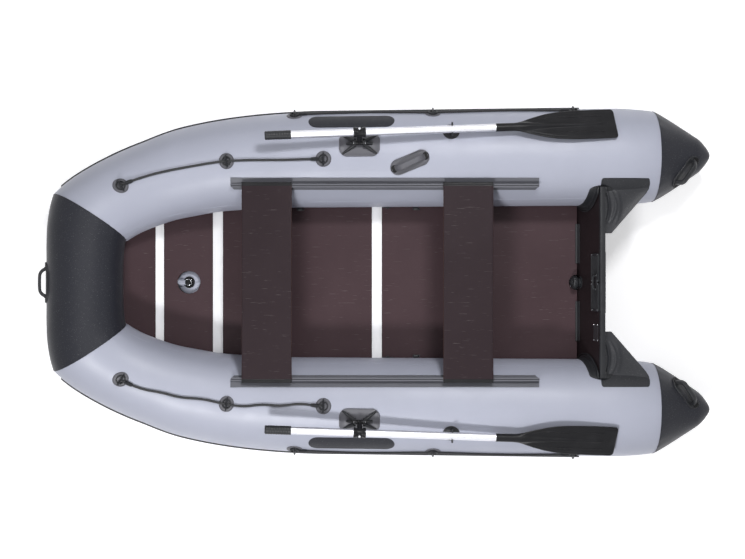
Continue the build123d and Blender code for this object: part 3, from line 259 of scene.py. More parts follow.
def on_cone(s0, angle0, turn, side=1):
    """Place on a stern cone: local x along it to the bow, y across, z out of it."""
    c, s = np.cos(np.radians(turn)), np.sin(np.radians(turn))
    slope = (CONE_START - CONE_TIP) * CONE_SHAPE * s0 ** (CONE_SHAPE - 1) / CONE_LENGTH
    grade = np.hypot(1, slope)

    def place(points):
        x = points[..., 0] * c - points[..., 1] * s
        y = points[..., 0] * s + points[..., 1] * c
        share = s0 - x / (CONE_LENGTH * grade)
        middle, heading = cone_spine(share)
        way = round_way(heading, np.radians(angle0) - y / cone_radius(s0))
        normal = unit(way - heading * slope)
        found = middle + way * cone_radius(share)[..., None] + normal * points[..., 2:3]
        return found * (1, side, 1)

    return place


def on_plane(origin, x_way, z_way):
    """Place on a flat plane with its own directions."""
    z_way = unit(z_way)
    x_way = unit(np.asarray(x_way, float) - z_way * np.dot(x_way, z_way))
    axes = np.array((x_way, np.cross(z_way, x_way), z_way))
    origin = np.asarray(origin, float)

    def place(points):
        return origin + points @ axes

    return place


# ---- meshes ----
def grid(points, span=(1.0, 1.0)):
    """Quads over an (m, n, 3) array of m closed loops of n points, both ends closed by fans.

    span is the surface's size in metres from loop to loop and round a loop, for its
    texture coordinates."""
    m, n = points.shape[:2]
    i, j = np.meshgrid(np.arange(m - 1), np.arange(n), indexing="ij")
    after = (j + 1) % n
    quads = np.stack([i * n + j, (i + 1) * n + j, (i + 1) * n + after, i * n + after], -1)
    u = np.stack([i, i + 1, i + 1, i], -1) * span[0] / max(m - 1, 1)
    v = np.stack([j, j, j + 1, j + 1], -1) * span[1] / max(n - 1, 1)
    verts = points.reshape(-1, 3)
    faces, coords = [quads.reshape(-1, 4)], [np.stack([u, v], -1).reshape(-1, 4, 2)]
    for row, sign in ((0, -1), (m - 1, 1)):
        ring = row * n + np.arange(n)
        beyond = np.roll(ring, -1)
        hub = np.full(n, len(verts))
        verts = np.vstack([verts, points[row].mean(0)])
        fan = np.stack([ring, hub, beyond] if sign < 0 else [ring, beyond, hub], -1)
        faces.append(fan[:, ::-1])
        flat = np.zeros((n, 3, 2))
        flat[..., 0] = sign * 0.01
        coords.append(flat)
    return outward((verts, faces, coords))


def outward(surface):
    """Turns a closed surface's faces so that its volume is positive."""
    verts, faces, coords = surface
    total = 0.0
    middle = verts.mean(0)
    for f in faces:
        p = verts[f] - middle
        for k in range(1, f.shape[1] - 1):
            total += np.einsum("ij,ij->", p[:, 0], np.cross(p[:, k], p[:, k + 1]))
    if total >= 0:
        return surface
    return verts, [f[:, ::-1] for f in faces], [c[:, ::-1] for c in coords]


def mirrored(surface):
    """The surface on the other side of the boat, its faces still outward."""
    verts, faces, coords = surface
    return verts * (1, -1, 1), [f[:, ::-1] for f in faces], [c[:, ::-1] for c in coords]


def both(surfaces):
    """The surfaces of the port side and their mirror images."""
    return list(surfaces) + [mirrored(s) for s in surfaces]


def on_side(surfaces, side):
    """Surfaces of the port side, mirrored for starboard."""
    return list(surfaces) if side > 0 else [mirrored(s) for s in surfaces]


def moved(place, offset):
    """The same place with its origin moved by an offset in its own directions."""
    return lambda points: place(points + np.asarray(offset, float))


def carried(place, surface):
    """A surface whose points a place moves, its faces turned outward again."""
    points, faces, coords = surface
    return outward((place(points), faces, coords))


def piece(name, surfaces, materials, body, slot, replaces=(), crease=38.0, picks=None):
    """Joins surfaces to one object, which rides on a body and stands for CAD nodes."""
    verts = np.vstack([s[0] for s in surfaces])
    starts = np.cumsum([0] + [len(s[0]) for s in surfaces[:-1]])
    loops, sizes, uvs, index = [], [], [], []
    for k, (start, (_, faces, coords)) in enumerate(zip(starts, surfaces)):
        for f, c in zip(faces, coords):
            loops.append((f + start).ravel())
            sizes.append(np.full(len(f), f.shape[1]))
            uvs.append(c.reshape(-1, 2))
            index.append(np.full(len(f), picks[k] if picks else 0))
    loops, sizes = np.concatenate(loops), np.concatenate(sizes)
    mesh = bpy.data.meshes.new(name)
    mesh.vertices.add(len(verts))
    mesh.vertices.foreach_set("co", verts.astype(np.float32).ravel())
    mesh.loops.add(len(loops))
    mesh.loops.foreach_set("vertex_index", loops.astype(np.int32))
    mesh.polygons.add(len(sizes))
    mesh.polygons.foreach_set("loop_start", (np.cumsum(sizes) - sizes).astype(np.int32))
    mesh.update(calc_edges=True)
    mesh.polygons.foreach_set("material_index", np.concatenate(index).astype(np.int32))
    layer = mesh.uv_layers.new(name="surface")
    layer.data.foreach_set("uv", np.vstack(uvs).astype(np.float32).ravel())
    mesh.shade_smooth()
    mesh.set_sharp_from_angle(angle=np.radians(crease))
    if mesh.validate():
        raise RuntimeError(f"{name}: the mesh had bad faces")
    for material in materials:
        mesh.materials.append(MATERIALS[material])
    obj = bpy.data.objects.new(name, mesh)
    bpy.context.scene.collection.objects.link(obj)
    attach(obj, body)
    if replaces:
        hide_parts(*replaces)
    return obj


def rounded(length, width, corner, inset=0.0, count=64):
    """Outline of a rectangle with round corners, moved in by inset, as (count, 2)."""
    corner = min(corner, length / 2, width / 2)
    round_part = max(corner - inset, 1e-5)
    a, b = length / 2 - inset - round_part, width / 2 - inset - round_part
    a, b = max(a, 0.0), max(b, 0.0)
    q = count // 4
    turn = np.linspace(0, np.pi / 2, q)
    arc = np.stack([np.cos(turn), np.sin(turn)], -1) * round_part
    signs = ((1, 1), (-1, 1), (-1, -1), (1, -1))
    parts = []
    for sx, sy in signs:
        quarter = arc if sx * sy > 0 else arc[::-1]
        parts.append(quarter * (sx, sy) + (sx * a, sy * b))
    return np.vstack(parts)


def pad(place, shape, rings, count=64):
    """Stack of outlines: rings are (inset, z), mapped by place, the last closed to a hub."""
    length, width, corner = shape
    layers = []
    for inset, z in rings:
        outline = rounded(length, width, corner, inset, count)
        layers.append(np.concatenate([outline, np.full((len(outline), 1), z)], -1))
    return grid(place(np.array(layers)), span=(width, length))


def rails_of(path):
    """Directions along a path and two across it that don't twist."""
    path = np.asarray(path, float)
    way = unit(np.gradient(path, axis=0))
    across = np.empty_like(way)
    seed = np.array((0, 0, 1.0)) if abs(way[0, 2]) < 0.9 else np.array((1.0, 0, 0))
    across[0] = unit(np.cross(way[0], seed))
    for k in range(1, len(path)):
        step = across[k - 1] - way[k] * across[k - 1].dot(way[k])
        across[k] = unit(step)
    return way, across, np.cross(way, across)


def sweep(path, section, scale=None):
    """A section, (n, 2), carried along a path; scale may change it from point to point."""
    path = np.asarray(path, float)
    _, across, up = rails_of(path)
    section = np.asarray(section, float)
    scale = np.ones(len(path)) if scale is None else np.asarray(scale, float)
    points = path[:, None] + scale[:, None, None] * (
        section[None, :, :1] * across[:, None] + section[None, :, 1:] * up[:, None]
    )
    length = np.linalg.norm(np.diff(path, axis=0), axis=1).sum()
    girth = np.linalg.norm(np.diff(section, axis=0), axis=1).sum()
    return grid(points, span=(length, girth))


def circle(radius, count=24, flat=1.0):
    """Outline of a circle, (count, 2), its second way scaled by flat."""
    a = np.linspace(0, 2 * np.pi, count, endpoint=False)
    return np.stack([radius * np.cos(a), radius * flat * np.sin(a)], -1)


def turned(place, profile, count=40, ribs=0, depth=0.0):
    """Profile of (radius, z) turned about the place's z axis; ribs cut depth into it."""
    profile = np.asarray(profile, float)
    a = np.linspace(0, 2 * np.pi, count, endpoint=False)
    grip = 1 - depth * (0.5 + 0.5 * np.cos(ribs * a)) if ribs else np.ones(count)
    r = profile[:, :1] * grip
    points = np.stack([r * np.cos(a), r * np.sin(a), np.repeat(profile[:, 1:], count, 1)], -1)
    return grid(place(points), span=(0.1, 0.1))


def brick(place, size, centre=(0, 0, 0), edge=0.0015):
    """Block with rounded edges, from a stack of rounded outlines."""
    x, y, z = size
    e = min(edge, z / 2.01)
    rings = [(e, -z / 2), (e * 0.3, -z / 2 + e * 0.3), (0, -z / 2 + e),
             (0, z / 2 - e), (e * 0.3, z / 2 - e * 0.3), (e, z / 2)]
    return pad(moved(place, centre), (x, y, 2 * e), rings)


def at_equal_steps(points, count):
    """The same line as count points at equal steps along it."""
    run = np.concatenate([[0], np.cumsum(np.linalg.norm(np.diff(points, axis=0), axis=1))])
    at = np.linspace(0, run[-1], count)
    return np.stack([np.interp(at, run, points[:, i]) for i in range(3)], -1)


def smooth_path(points, count):
    """Points at equal steps along a Catmull-Rom curve through a few points."""
    p = np.asarray(points, float)
    p = np.vstack([2 * p[0] - p[1], p, 2 * p[-1] - p[-2]])
    t = np.linspace(0, len(p) - 3 - 1e-9, count * 4)
    k = t.astype(int)
    f = (t - k)[:, None]
    a, b, c, d = p[k], p[k + 1], p[k + 2], p[k + 3]
    q = 0.5 * (2 * b + (c - a) * f + (2 * a - 5 * b + 4 * c - d) * f**2
               + (3 * b - a - 3 * c + d) * f**3)
    return at_equal_steps(q, count)


# ---- shared shader effects ----
FULL_TURN = 6.2832  # radians
EFFECTS = {}
MATERIALS = {}
def effect(name, inputs, outputs):
    """Empty shader node group with named sockets: (name, kind, default)."""
    group = bpy.data.node_groups.new(name, "ShaderNodeTree")
    for label, kind, default in inputs:
        socket = group.interface.new_socket(label, in_out="INPUT", socket_type="NodeSocket" + kind)
        if default is not None:
            socket.default_value = default
    for label, kind in outputs:
        group.interface.new_socket(label, in_out="OUTPUT", socket_type="NodeSocket" + kind)
    start = group.nodes.new("NodeGroupInput")
    end = group.nodes.new("NodeGroupOutput")
    return group, start.outputs, end.inputs


def add(tree, kind, values=None, **settings):
    """Node with its settings, its sockets linked or set from values by name or index."""
    node = tree.nodes.new("ShaderNode" + kind)
    for key, value in settings.items():
        setattr(node, key, value)
    for key, value in (values or {}).items():
        socket = node.inputs[key]
        if isinstance(value, bpy.types.NodeSocket):
            tree.links.new(value, socket)
        else:
            socket.default_value = value
    return node


def maths(tree, operation, a, b=0.0, clamp=False):
    """Result of one maths node."""
    node = add(tree, "Math", {0: a, 1: b}, operation=operation, use_clamp=clamp)
    return node.outputs[0]


def times(tree, a, b):
    return maths(tree, "MULTIPLY", a, b)


def blend_colour(tree, factor, a, b, kind="MIX"):
    """Colour a mixed with b by a factor."""
    return add(tree, "Mix", {0: factor, 6: a, 7: b}, data_type="RGBA", blend_type=kind).outputs[2]


def tinted(tree, colour, tint):
    """A colour multiplied by a tint."""
    return blend_colour(tree, 1.0, colour, (*tint, 1), "MULTIPLY")


def ramp_value(tree, value, low, high):
    """Smooth step of a value from 0 at low to 1 at high."""
    ramp = add(tree, "MapRange", {0: value, 1: low, 2: high}, interpolation_type="SMOOTHSTEP")
    return ramp.outputs[0]


def uneven(tree, base, pattern, depth):
    """base + (pattern - 0.5) * depth, for a roughness that changes over the surface."""
    return maths(tree, "ADD", base, times(tree, maths(tree, "SUBTRACT", pattern, 0.5), depth))


def raise_by(tree, gives, height, strength, distance):
    """Bump from a height, linked to the effect's Normal."""
    bump = add(tree, "Bump", {"Strength": strength, "Distance": distance, "Height": height})
    tree.links.new(bump.outputs[0], gives["Normal"])


def noise(tree, where, scale, detail=3.0, rough=0.55):
    """Value of a noise texture at a position."""
    node = add(tree, "TexNoise", {"Vector": where, "Scale": scale, "Detail": detail,
                                  "Roughness": rough})
    return node.outputs[0]


def make_coated_fabric():
    """Coated cloth: faint basket weave, long mottling, handling marks and dust."""
    group, given, gives = effect(
        "coated_fabric",
        [("Colour", "Color", None), ("Mottle", "Float", 0.05), ("Weave", "Float", 0.35),
         ("Roughness", "Float", 0.42), ("Crease", "Float", 0.2)],
        [("Colour", "Color"), ("Roughness", "Float"), ("Normal", "Vector")],
    )
    where = add(group, "TexCoord").outputs["Object"]
    wide = noise(group, where, 1.7, 4.0)
    cloud = noise(group, where, 9.0, 5.0, 0.6)
    speck = noise(group, where, 240.0, 2.0)
    tone = maths(group, "ADD", times(group, wide, 0.6), times(group, cloud, 0.4))
    factor = times(group, ramp_value(group, tone, 0.35, 0.65), given["Mottle"])
    dark = tinted(group, given["Colour"], (0.55, 0.56, 0.58))
    colour = blend_colour(group, factor, given["Colour"], dark)
    dust = times(group, ramp_value(group, speck, 0.62, 0.74), 0.10)
    colour = blend_colour(group, dust, colour, (0.62, 0.62, 0.63, 1))
    group.links.new(colour, gives["Colour"])
    group.links.new(uneven(group, given["Roughness"], cloud, 0.22), gives["Roughness"])
    spot = add(group, "SeparateXYZ", {0: where}).outputs
    weft = maths(group, "SINE", times(group, spot[0], 5200.0))
    warp = maths(group, "SINE", times(group, maths(group, "ADD", spot[1], spot[2]), 5200.0))
    cloth = times(group, weft, warp)
    first = add(group, "Bump", {"Strength": given["Weave"], "Distance": 0.00005, "Height": cloth})
    fold = noise(group, where, 24.0, 3.0, 0.5)
    second = add(group, "Bump", {"Strength": given["Crease"], "Distance": 0.0012, "Height": fold,
                                 "Normal": first.outputs[0]})
    group.links.new(second.outputs[0], gives["Normal"])
    return group


def make_moulded_grain():
    """Moulded rubber or plastic: fine grain, flow marks, rubbed high spots and dust."""
    group, given, gives = effect(
        "moulded_grain",
        [("Colour", "Color", None), ("Roughness", "Float", 0.5), ("Grain", "Float", 0.3),
         ("Rub", "Float", 0.12)],
        [("Colour", "Color"), ("Roughness", "Float"), ("Normal", "Vector")],
    )
    where = add(group, "TexCoord").outputs["Object"]
    cloud = noise(group, where, 12.0, 3.0, 0.5)
    grain = noise(group, where, 1500.0, 2.0)
    flow = noise(group, where, 90.0, 3.0)
    pale = blend_colour(group, 0.25, given["Colour"], (0.30, 0.30, 0.32, 1))
    rub = times(group, ramp_value(group, cloud, 0.40, 0.75), given["Rub"])
    colour = blend_colour(group, rub, given["Colour"], pale)
    dust = times(group, ramp_value(group, flow, 0.62, 0.85), given["Rub"])
    colour = blend_colour(group, times(group, dust, 0.3), colour, (0.5, 0.5, 0.5, 1))
    group.links.new(colour, gives["Colour"])
    group.links.new(uneven(group, given["Roughness"], cloud, 0.12), gives["Roughness"])
    height = maths(group, "ADD", grain, times(group, flow, 0.15))
    raise_by(group, gives, height, given["Grain"], 0.00012)
    return group


def make_film_ply():
    """Film-faced plywood: brown film with cloudy sheen and scuffs, layered bare edges."""
    group, given, gives = effect(
        "film_ply",
        [("Film", "Color", None), ("Edge", "Color", None), ("Roughness", "Float", 0.4),
         ("Scuff", "Float", 0.3), ("Layers", "Float", 0.0014), ("Face", "Vector", (0, 0, 1))],
        [("Colour", "Color"), ("Roughness", "Float"), ("Normal", "Vector")],
    )
    where = add(group, "TexCoord").outputs["Object"]
    spot = add(group, "SeparateXYZ", {0: where}).outputs
    cloud = noise(group, where, 3.2, 5.0, 0.62)
    fibre_place = add(group, "Mapping", {"Vector": where, "Scale": (220.0, 9.0, 60.0)}).outputs[0]
    fibre = noise(group, fibre_place, 1.0, 4.0, 0.6)
    scratch_place = add(group, "Mapping", {"Vector": where, "Rotation": (0, 0, 0.5),
                                           "Scale": (14.0, 420.0, 40.0)})
    scratch = noise(group, scratch_place.outputs[0], 1.0, 2.0, 0.5)
    tone = times(group, ramp_value(group, cloud, 0.3, 0.7), 0.35)
    deep = tinted(group, given["Film"], (0.62, 0.60, 0.62))
    film = blend_colour(group, tone, given["Film"], deep)
    film = blend_colour(group, times(group, ramp_value(group, fibre, 0.55, 0.8), 0.15), film, deep)
    mark = times(group, ramp_value(group, scratch, 0.69, 0.76), given["Scuff"])
    film = blend_colour(group, mark, film, (0.30, 0.27, 0.27, 1))
    turns = maths(group, "DIVIDE", times(group, spot[2], FULL_TURN), given["Layers"])
    layer = maths(group, "SINE", turns)
    stripe = ramp_value(group, layer, -0.4, 0.4)
    dark_edge = tinted(group, given["Edge"], (0.45, 0.40, 0.36))
    edge = blend_colour(group, stripe, given["Edge"], dark_edge)
    normal = add(group, "TexCoord").outputs["Normal"]
    facing = add(group, "VectorMath", {0: normal, 1: given["Face"]},
                 operation="DOT_PRODUCT").outputs["Value"]
    flat = ramp_value(group, maths(group, "ABSOLUTE", facing), 0.3, 0.7)
    side = maths(group, "SUBTRACT", 1.0, flat)
    group.links.new(blend_colour(group, side, film, edge), gives["Colour"])
    rough = uneven(group, given["Roughness"], cloud, 0.25)
    rough = maths(group, "ADD", rough, times(group, side, 0.35), clamp=True)
    group.links.new(rough, gives["Roughness"])
    height = maths(group, "ADD", times(group, fibre, 0.4),
                   times(group, layer, times(group, side, 0.8)))
    raise_by(group, gives, height, 0.25, 0.0002)
    return group


def make_drawn_metal():
    """Extruded or brushed metal: drawing lines along x, soft oxide clouds, small dents."""
    group, given, gives = effect(
        "drawn_metal",
        [("Colour", "Color", None), ("Roughness", "Float", 0.3), ("Lines", "Float", 0.3),
         ("Stretch", "Vector", (6.0, 900.0, 900.0))],
        [("Colour", "Color"), ("Roughness", "Float"), ("Normal", "Vector")],
    )
    where = add(group, "TexCoord").outputs["Object"]
    lined = add(group, "VectorMath", {0: where, 1: given["Stretch"]},
                operation="MULTIPLY").outputs[0]
    line = noise(group, lined, 1.0, 3.0, 0.6)
    cloud = noise(group, where, 7.0, 4.0, 0.6)
    dull = tinted(group, given["Colour"], (0.80, 0.81, 0.84))
    tone = times(group, ramp_value(group, cloud, 0.3, 0.7), 0.35)
    colour = blend_colour(group, tone, given["Colour"], dull)
    fine = times(group, ramp_value(group, line, 0.35, 0.65), 0.18)
    group.links.new(blend_colour(group, fine, colour, dull), gives["Colour"])
    group.links.new(uneven(group, given["Roughness"], line, 0.25), gives["Roughness"])
    raise_by(group, gives, line, given["Lines"], 0.00012)
    return group


def make_braid():
    """Braided cord from its texture coordinates: crossing strands with painted shade in the grooves
    between them, and fluff.
    """
    group, given, gives = effect(
        "braid",
        [("Colour", "Color", None), ("Fleck", "Color", None), ("Pitch", "Float", 0.011),
         ("Girth", "Float", 0.0314)],
        [("Colour", "Color"), ("Normal", "Vector")],
    )
    uv = add(group, "SeparateXYZ", {0: add(group, "UVMap", uv_map="surface").outputs[0]}).outputs
    along = times(group, maths(group, "DIVIDE", uv[0], given["Pitch"]), FULL_TURN)
    about = times(group, maths(group, "DIVIDE", uv[1], given["Girth"]), 4 * FULL_TURN)
    one = maths(group, "SINE", maths(group, "ADD", along, about))
    two = maths(group, "SINE", maths(group, "SUBTRACT", along, about))
    strand = maths(group, "MAXIMUM", one, two)
    where = add(group, "TexCoord").outputs["Object"]
    fluff = noise(group, where, 1800.0, 2.0)
    # Painted shade: the colour darkens to about a third in the grooves between the strands.
    dark = tinted(group, given["Colour"], (0.35, 0.35, 0.36))
    colour = blend_colour(group, ramp_value(group, strand, -0.2, 0.8), dark, given["Colour"])
    fleck = times(group, ramp_value(group, fluff, 0.55, 0.7), 0.5)
    group.links.new(blend_colour(group, fleck, colour, given["Fleck"]), gives["Colour"])
    height = maths(group, "ADD", strand, times(group, fluff, 0.3))
    raise_by(group, gives, height, 0.6, 0.0006)
    return group


SHADER_SOCKETS = {"Colour": "Base Color", "Roughness": "Roughness", "Normal": "Normal"}


def dressed(name, group, plain, **given):
    """Material: one shared effect, with its given inputs, feeds the shader; plain numbers are
    set on the shader itself."""
    material = bpy.data.materials.new(name)
    material.use_nodes = True
    tree = material.node_tree
    shader = tree.nodes["Principled BSDF"]
    node = tree.nodes.new("ShaderNodeGroup")
    node.node_tree = EFFECTS[group]
    for key, value in given.items():
        node.inputs[key].default_value = value
    for result in node.outputs:
        tree.links.new(result, shader.inputs[SHADER_SOCKETS[result.name]])
    for key, value in plain.items():
        shader.inputs[key].default_value = value
    MATERIALS[name] = material


def rgb(red, green, blue):
    """Linear colour from display values out of 255."""
    parts = []
    for c in (red, green, blue):
        c /= 255
        parts.append(c / 12.92 if c <= 0.04045 else ((c + 0.055) / 1.055) ** 2.4)
    return (*parts, 1.0)


# ---- sizes and colours that a user would change ----
def shade(name, description, default):
    """Colour property."""
    return bpy.props.FloatVectorProperty(
        name=name, description=description, subtype="COLOR", size=4, min=0, max=1, default=default
    )


def size(name, description, default):
    """Length property."""
    return bpy.props.FloatProperty(
        name=name, description=description, unit="LENGTH", min=0.0001, default=default
    )


class BoatColours(bpy.types.PropertyGroup):
    tube: shade("Tube fabric", "Colour of the side tubes", rgb(166, 169, 184))
    dark: shade("Dark fabric", "Colour of the bow segment and stern cones", rgb(37, 38, 45))
    film: shade("Plywood film", "Colour of the film on floor and seats", rgb(69, 53, 57))
    profile: shade("Floor profiles", "Colour of the profiles that join the floor boards",
                   rgb(244, 244, 246))
    rope: shade("Grab lines", "Colour of the grab lines", rgb(34, 35, 38))


class BoatSizes(bpy.types.PropertyGroup):
    rope_diameter: size("Rope diameter", "Diameter of the grab lines", 0.012)
    eye_radius: size("Line eye radius", "Radius of the pads that carry the grab lines", 0.0375)
    wrinkle: size("Wrinkle depth", "Depth of the puckers at the tubes' seams", 0.0012)
    camera_height: size("Camera height", "Height of the camera over the ground", 6.5)


def make_materials(colours):
    """All materials, from five shared effects."""
    EFFECTS.update(
        fabric=make_coated_fabric(), grain=make_moulded_grain(), ply=make_film_ply(),
        metal=make_drawn_metal(), braid=make_braid(),
    )
    shine, metal = "Specular IOR Level", "Metallic"
    black, board = {shine: 0.24}, {shine: 0.10}
    dressed("tube_fabric", "fabric", {shine: 0.4}, Colour=tuple(colours.tube), Mottle=0.10)
    dressed("dark_fabric", "fabric", {shine: 0.22}, Colour=tuple(colours.dark), Mottle=0.25,
            Roughness=0.44)
    dressed("gusset_fabric", "fabric", {shine: 0.25}, Colour=rgb(40, 41, 45), Mottle=0.2,
            Crease=0.25)
    dressed("bottom_fabric", "fabric", {}, Colour=rgb(150, 153, 168), Mottle=0.3, Crease=0.5)
    dressed("webbing", "fabric", {}, Colour=rgb(96, 97, 102), Weave=1.0)
    dressed("rubber", "grain", black, Colour=rgb(36, 37, 40), Roughness=0.42, Grain=0.4)
    dressed("plate_rubber", "grain", black, Colour=rgb(92, 92, 98), Roughness=0.45, Grain=0.4)
    dressed("rail_rubber", "grain", black, Colour=rgb(96, 97, 104), Roughness=0.5, Grain=0.3)
    dressed("plastic", "grain", {shine: 0.16}, Colour=rgb(20, 20, 23), Roughness=0.34, Grain=0.2,
            Rub=0.06)
    # Painted shade: a near-black material that fills the handles' pockets and the blade's hole,
    # where only shade would be.
    dressed("painted_hollow_shade", "grain", {shine: 0.2}, Colour=rgb(12, 12, 13), Roughness=0.6)
    dressed("floor_film", "ply", board, Film=tuple(colours.film), Edge=rgb(110, 80, 56),
            Roughness=0.42)
    dressed("seat_film", "ply", board, Film=rgb(44, 34, 38), Edge=rgb(88, 62, 46), Roughness=0.42)
    dressed("transom_film", "ply", board, Film=rgb(38, 31, 33), Edge=rgb(52, 42, 44),
            Roughness=0.4, Face=(np.cos(RAKE), 0, np.sin(RAKE)))
    dressed("profile_metal", "metal", {metal: 0.15}, Colour=tuple(colours.profile), Roughness=0.45,
            Stretch=(900.0, 6.0, 900.0))
    dressed("oar_metal", "metal", {metal: 0.85}, Colour=rgb(222, 222, 228), Roughness=0.3)
    dressed("plate_metal", "metal", {metal: 0.8}, Colour=rgb(92, 92, 96), Roughness=0.35)
    dressed("steel", "metal", {metal: 1.0}, Colour=rgb(206, 207, 212), Roughness=0.25)
    dressed("rope", "braid", {"Roughness": 0.75, "Sheen Weight": 0.2}, Colour=tuple(colours.rope),
            Fleck=rgb(84, 85, 90))


# ---- hull ----
def make_side_tube(side, depth):
    """Grid over length t and angle a, with puckers depth*sin(26a) that die off from both
    seams, and soft folds round the inner side of the bend."""
    rings, count = 210, 144
    angle = np.linspace(0, 2 * np.pi, count, endpoint=False)
    share = np.linspace(0, 1, rings)[:, None]
    stop = seam_reach(round_skin, angle, 1.5, 2.6, 1)
    t = share * stop
    reach = np.linalg.norm(SEAM - KNUCKLE)
    near_bow = np.exp(-(stop - t) * reach / 0.045)
    near_stern = np.exp(-t * 1.6 / 0.03)
    inner = 0.5 - 0.5 * np.cos(angle)
    lift = depth * 0.5 * np.sin(26 * angle) * near_bow * (0.3 + inner)
    lift = lift + depth * 0.35 * np.sin(34 * angle + 0.7) * near_stern
    bend = np.clip(t - 1, 0, 1)
    lift = lift + depth * 0.8 * inner**3 * np.sin(9 * bend * np.pi) * np.sin(np.pi * bend)
    lift = lift - 0.002 * (t <= 0) - 0.002 * (share >= 1)
    lift = lift * (1 - (share >= 1) * 0.5)
    surface = grid(skin(t, angle, lift), span=(2.9, 1.45))
    return on_side([surface, side_seam_tape()], side)


def side_seam_tape():
    """Thin tape over the long seam on the inboard side: offsets in angle round the tube."""
    t = np.linspace(0.02, 1.93, 160)
    wide = 0.018 / 0.23
    steps = np.array((-1.0, -0.97, 0.97, 1.0))
    lifts = np.array((-0.0006, 0.0007, 0.0007, -0.0006))
    base = np.radians(152 + 6 * np.sin(t[:, None]))
    top = skin(t[:, None], base + steps * wide / 2, lifts)
    return grid(top, span=(2.8, 0.04))


def make_bow_tube(depth):
    """Bow segment from seam to seam, a lap's thickness proud, with puckers at its seams."""
    half_rings, count = 60, 144
    angle = np.linspace(0, 2 * np.pi, count, endpoint=False)
    stop = seam_reach(round_bow_skin, angle, 0.4, 1.8, -1)
    share = np.linspace(0, 1, half_rings)[:, None]
    inner = 0.5 - 0.5 * np.cos(angle)
    near = np.exp(-(1 - share) * stop * 0.3 / 0.04)
    lift = LAP + depth * 0.5 * np.sin(26 * angle) * near * (0.3 + inner)
    port = bow_skin(share * stop, angle, lift)
    port = np.concatenate([port, bow_skin(stop, angle, -0.001)[None]])
    starboard = port[:0:-1] * (1, -1, 1)
    return [grid(np.concatenate([starboard, port]), span=(0.7, 1.1))]


def make_cone(side):
    """Stern cone: radius R - dR s^1.13 on a line that lifts. Its last part is closed by
    the factor cos(turn) while s goes on as s0 + (1 - s0) sin(turn)."""
    angle = np.linspace(0, 2 * np.pi, 144, endpoint=False)
    last = 0.79
    turn = np.linspace(0.06, np.pi / 2 - 0.04, 22)
    share = np.concatenate([[0.0], np.linspace(0, last, 50), last + (1 - last) * np.sin(turn)])
    radius = cone_radius(share) + LAP
    radius[0] = CONE_START - 0.001
    radius[51:] *= np.cos(turn)
    centre, heading = cone_spine(share)
    way = round_way(heading[:, None], np.broadcast_to(angle, (len(share), len(angle))))
    pucker = 0.0011 * np.sin(22 * angle) * np.exp(-share[:, None] / 0.10) * (share[:, None] > 0)
    points = centre[:, None] + way * (radius[:, None] + pucker)[..., None]
    surface = grid(points, span=(0.3, 1.4))
    return on_side([surface], side)


def make_strake(side):
    """Rub strake: ribbed section at 9 degrees under the tube's widest line."""
    t = np.concatenate([np.linspace(t_of(-0.987), 1.0, 60), np.linspace(1.01, 1.985, 90)])
    section = np.array((
        (-0.0275, -0.002), (-0.0272, 0.003), (-0.0190, 0.0125), (-0.0140, 0.0128),
        (-0.0120, 0.0095), (-0.0085, 0.0095), (-0.0065, 0.0130), (0.0065, 0.0130),
        (0.0085, 0.0095), (0.0120, 0.0095), (0.0140, 0.0128), (0.0190, 0.0125),
        (0.0272, 0.003), (0.0275, -0.002),
    ))
    _, _, radius = spine(t)
    angle = np.radians(-9.0) + section[:, 0] / radius[:, None]
    surface = grid(skin(t[:, None], angle, section[:, 1]), span=(2.9, 0.09))
    return on_side([surface], side)


def make_patches():
    """Bare stadium patches on the tubes, under the oarlocks."""
    place = on_tube(0.119, 43.0)
    rings = [(0.0, -0.001), (0.0, 0.0012), (0.0008, 0.0019), (0.02, 0.0019), (0.035, 0.0019)]
    return both([pad(place, (0.408, 0.088, 0.044), rings)])


PANEL = np.array((
    (-0.9970, 0.4897, 0.0313), (0.2699, 0.4800, 0.0308), (0.6110, 0.4673, 0.0474),
    (0.8961, 0.4260, 0.0882), (1.1206, 0.3507, 0.1507), (1.2258, 0.2880, 0.1980),
    (1.3000, 0.2440, 0.2420),
))


def panel_edge(x):
    """Half width and height of the bottom panel's edge over x."""
    return np.interp(x, PANEL[:, 0], PANEL[:, 1]), np.interp(x, PANEL[:, 0], PANEL[:, 2])


def keel_line(x):
    """Height of the bottom on the keel: 0.006 + 0.491 (x - 0.6)^2 forward of x = 0.6."""
    return 0.006 + 0.491 * np.maximum(0, x - 0.600) ** 2


def make_bottom():
    """Bottom panel: straight threads from keel to tube edge over x, sagging a little."""
    x = np.linspace(-0.9965, 1.2985, 124)
    edge_y, edge_z = panel_edge(x)
    v = np.linspace(-1, 1, 61)
    low = np.minimum(keel_line(x), edge_z)[:, None]
    rise = low + (edge_z[:, None] - low) * np.abs(v) ** 1.08
    y = v * (edge_y[:, None] + 0.003)
    z = rise + 0.0006 * np.sin(9 * x[:, None]) * np.sin(np.pi * np.abs(v))
    under = np.stack([x[:, None] + 0 * y, y, z], -1)
    top = under + (0, 0, 0.003)
    ring = np.concatenate([under, top[:, ::-1]], 1)
    return [grid(ring, span=(2.2, 2.0))]


def make_keel():
    """Keel tube: circles between the bottom panel and the floor boards over x."""
    x = np.linspace(-0.935, 1.034, 110)
    edge_y, edge_z = panel_edge(x)
    low = np.minimum(keel_line(x), edge_z) + 0.0045
    high = floor_line(x) - 0.0125
    radius = (high - low) / 2
    radius[0] *= 0.6
    radius[-1] *= 0.5
    a = np.linspace(0, 2 * np.pi, 48, endpoint=False)
    ring = np.stack([0 * a, np.cos(a), np.sin(a)], -1)
    middle = np.stack([x, 0 * edge_y, (low + high) / 2], -1)
    return [grid(middle[:, None] + ring * radius[:, None, None], span=(2, 0.3))]


def floor_line(x):
    """Top of the floor: level, then rising by 0.5586 (x - 0.7985)^2 to the bow."""
    return FLOOR_HEIGHT + 0.5586 * np.maximum(0, x - 0.7985) ** 2


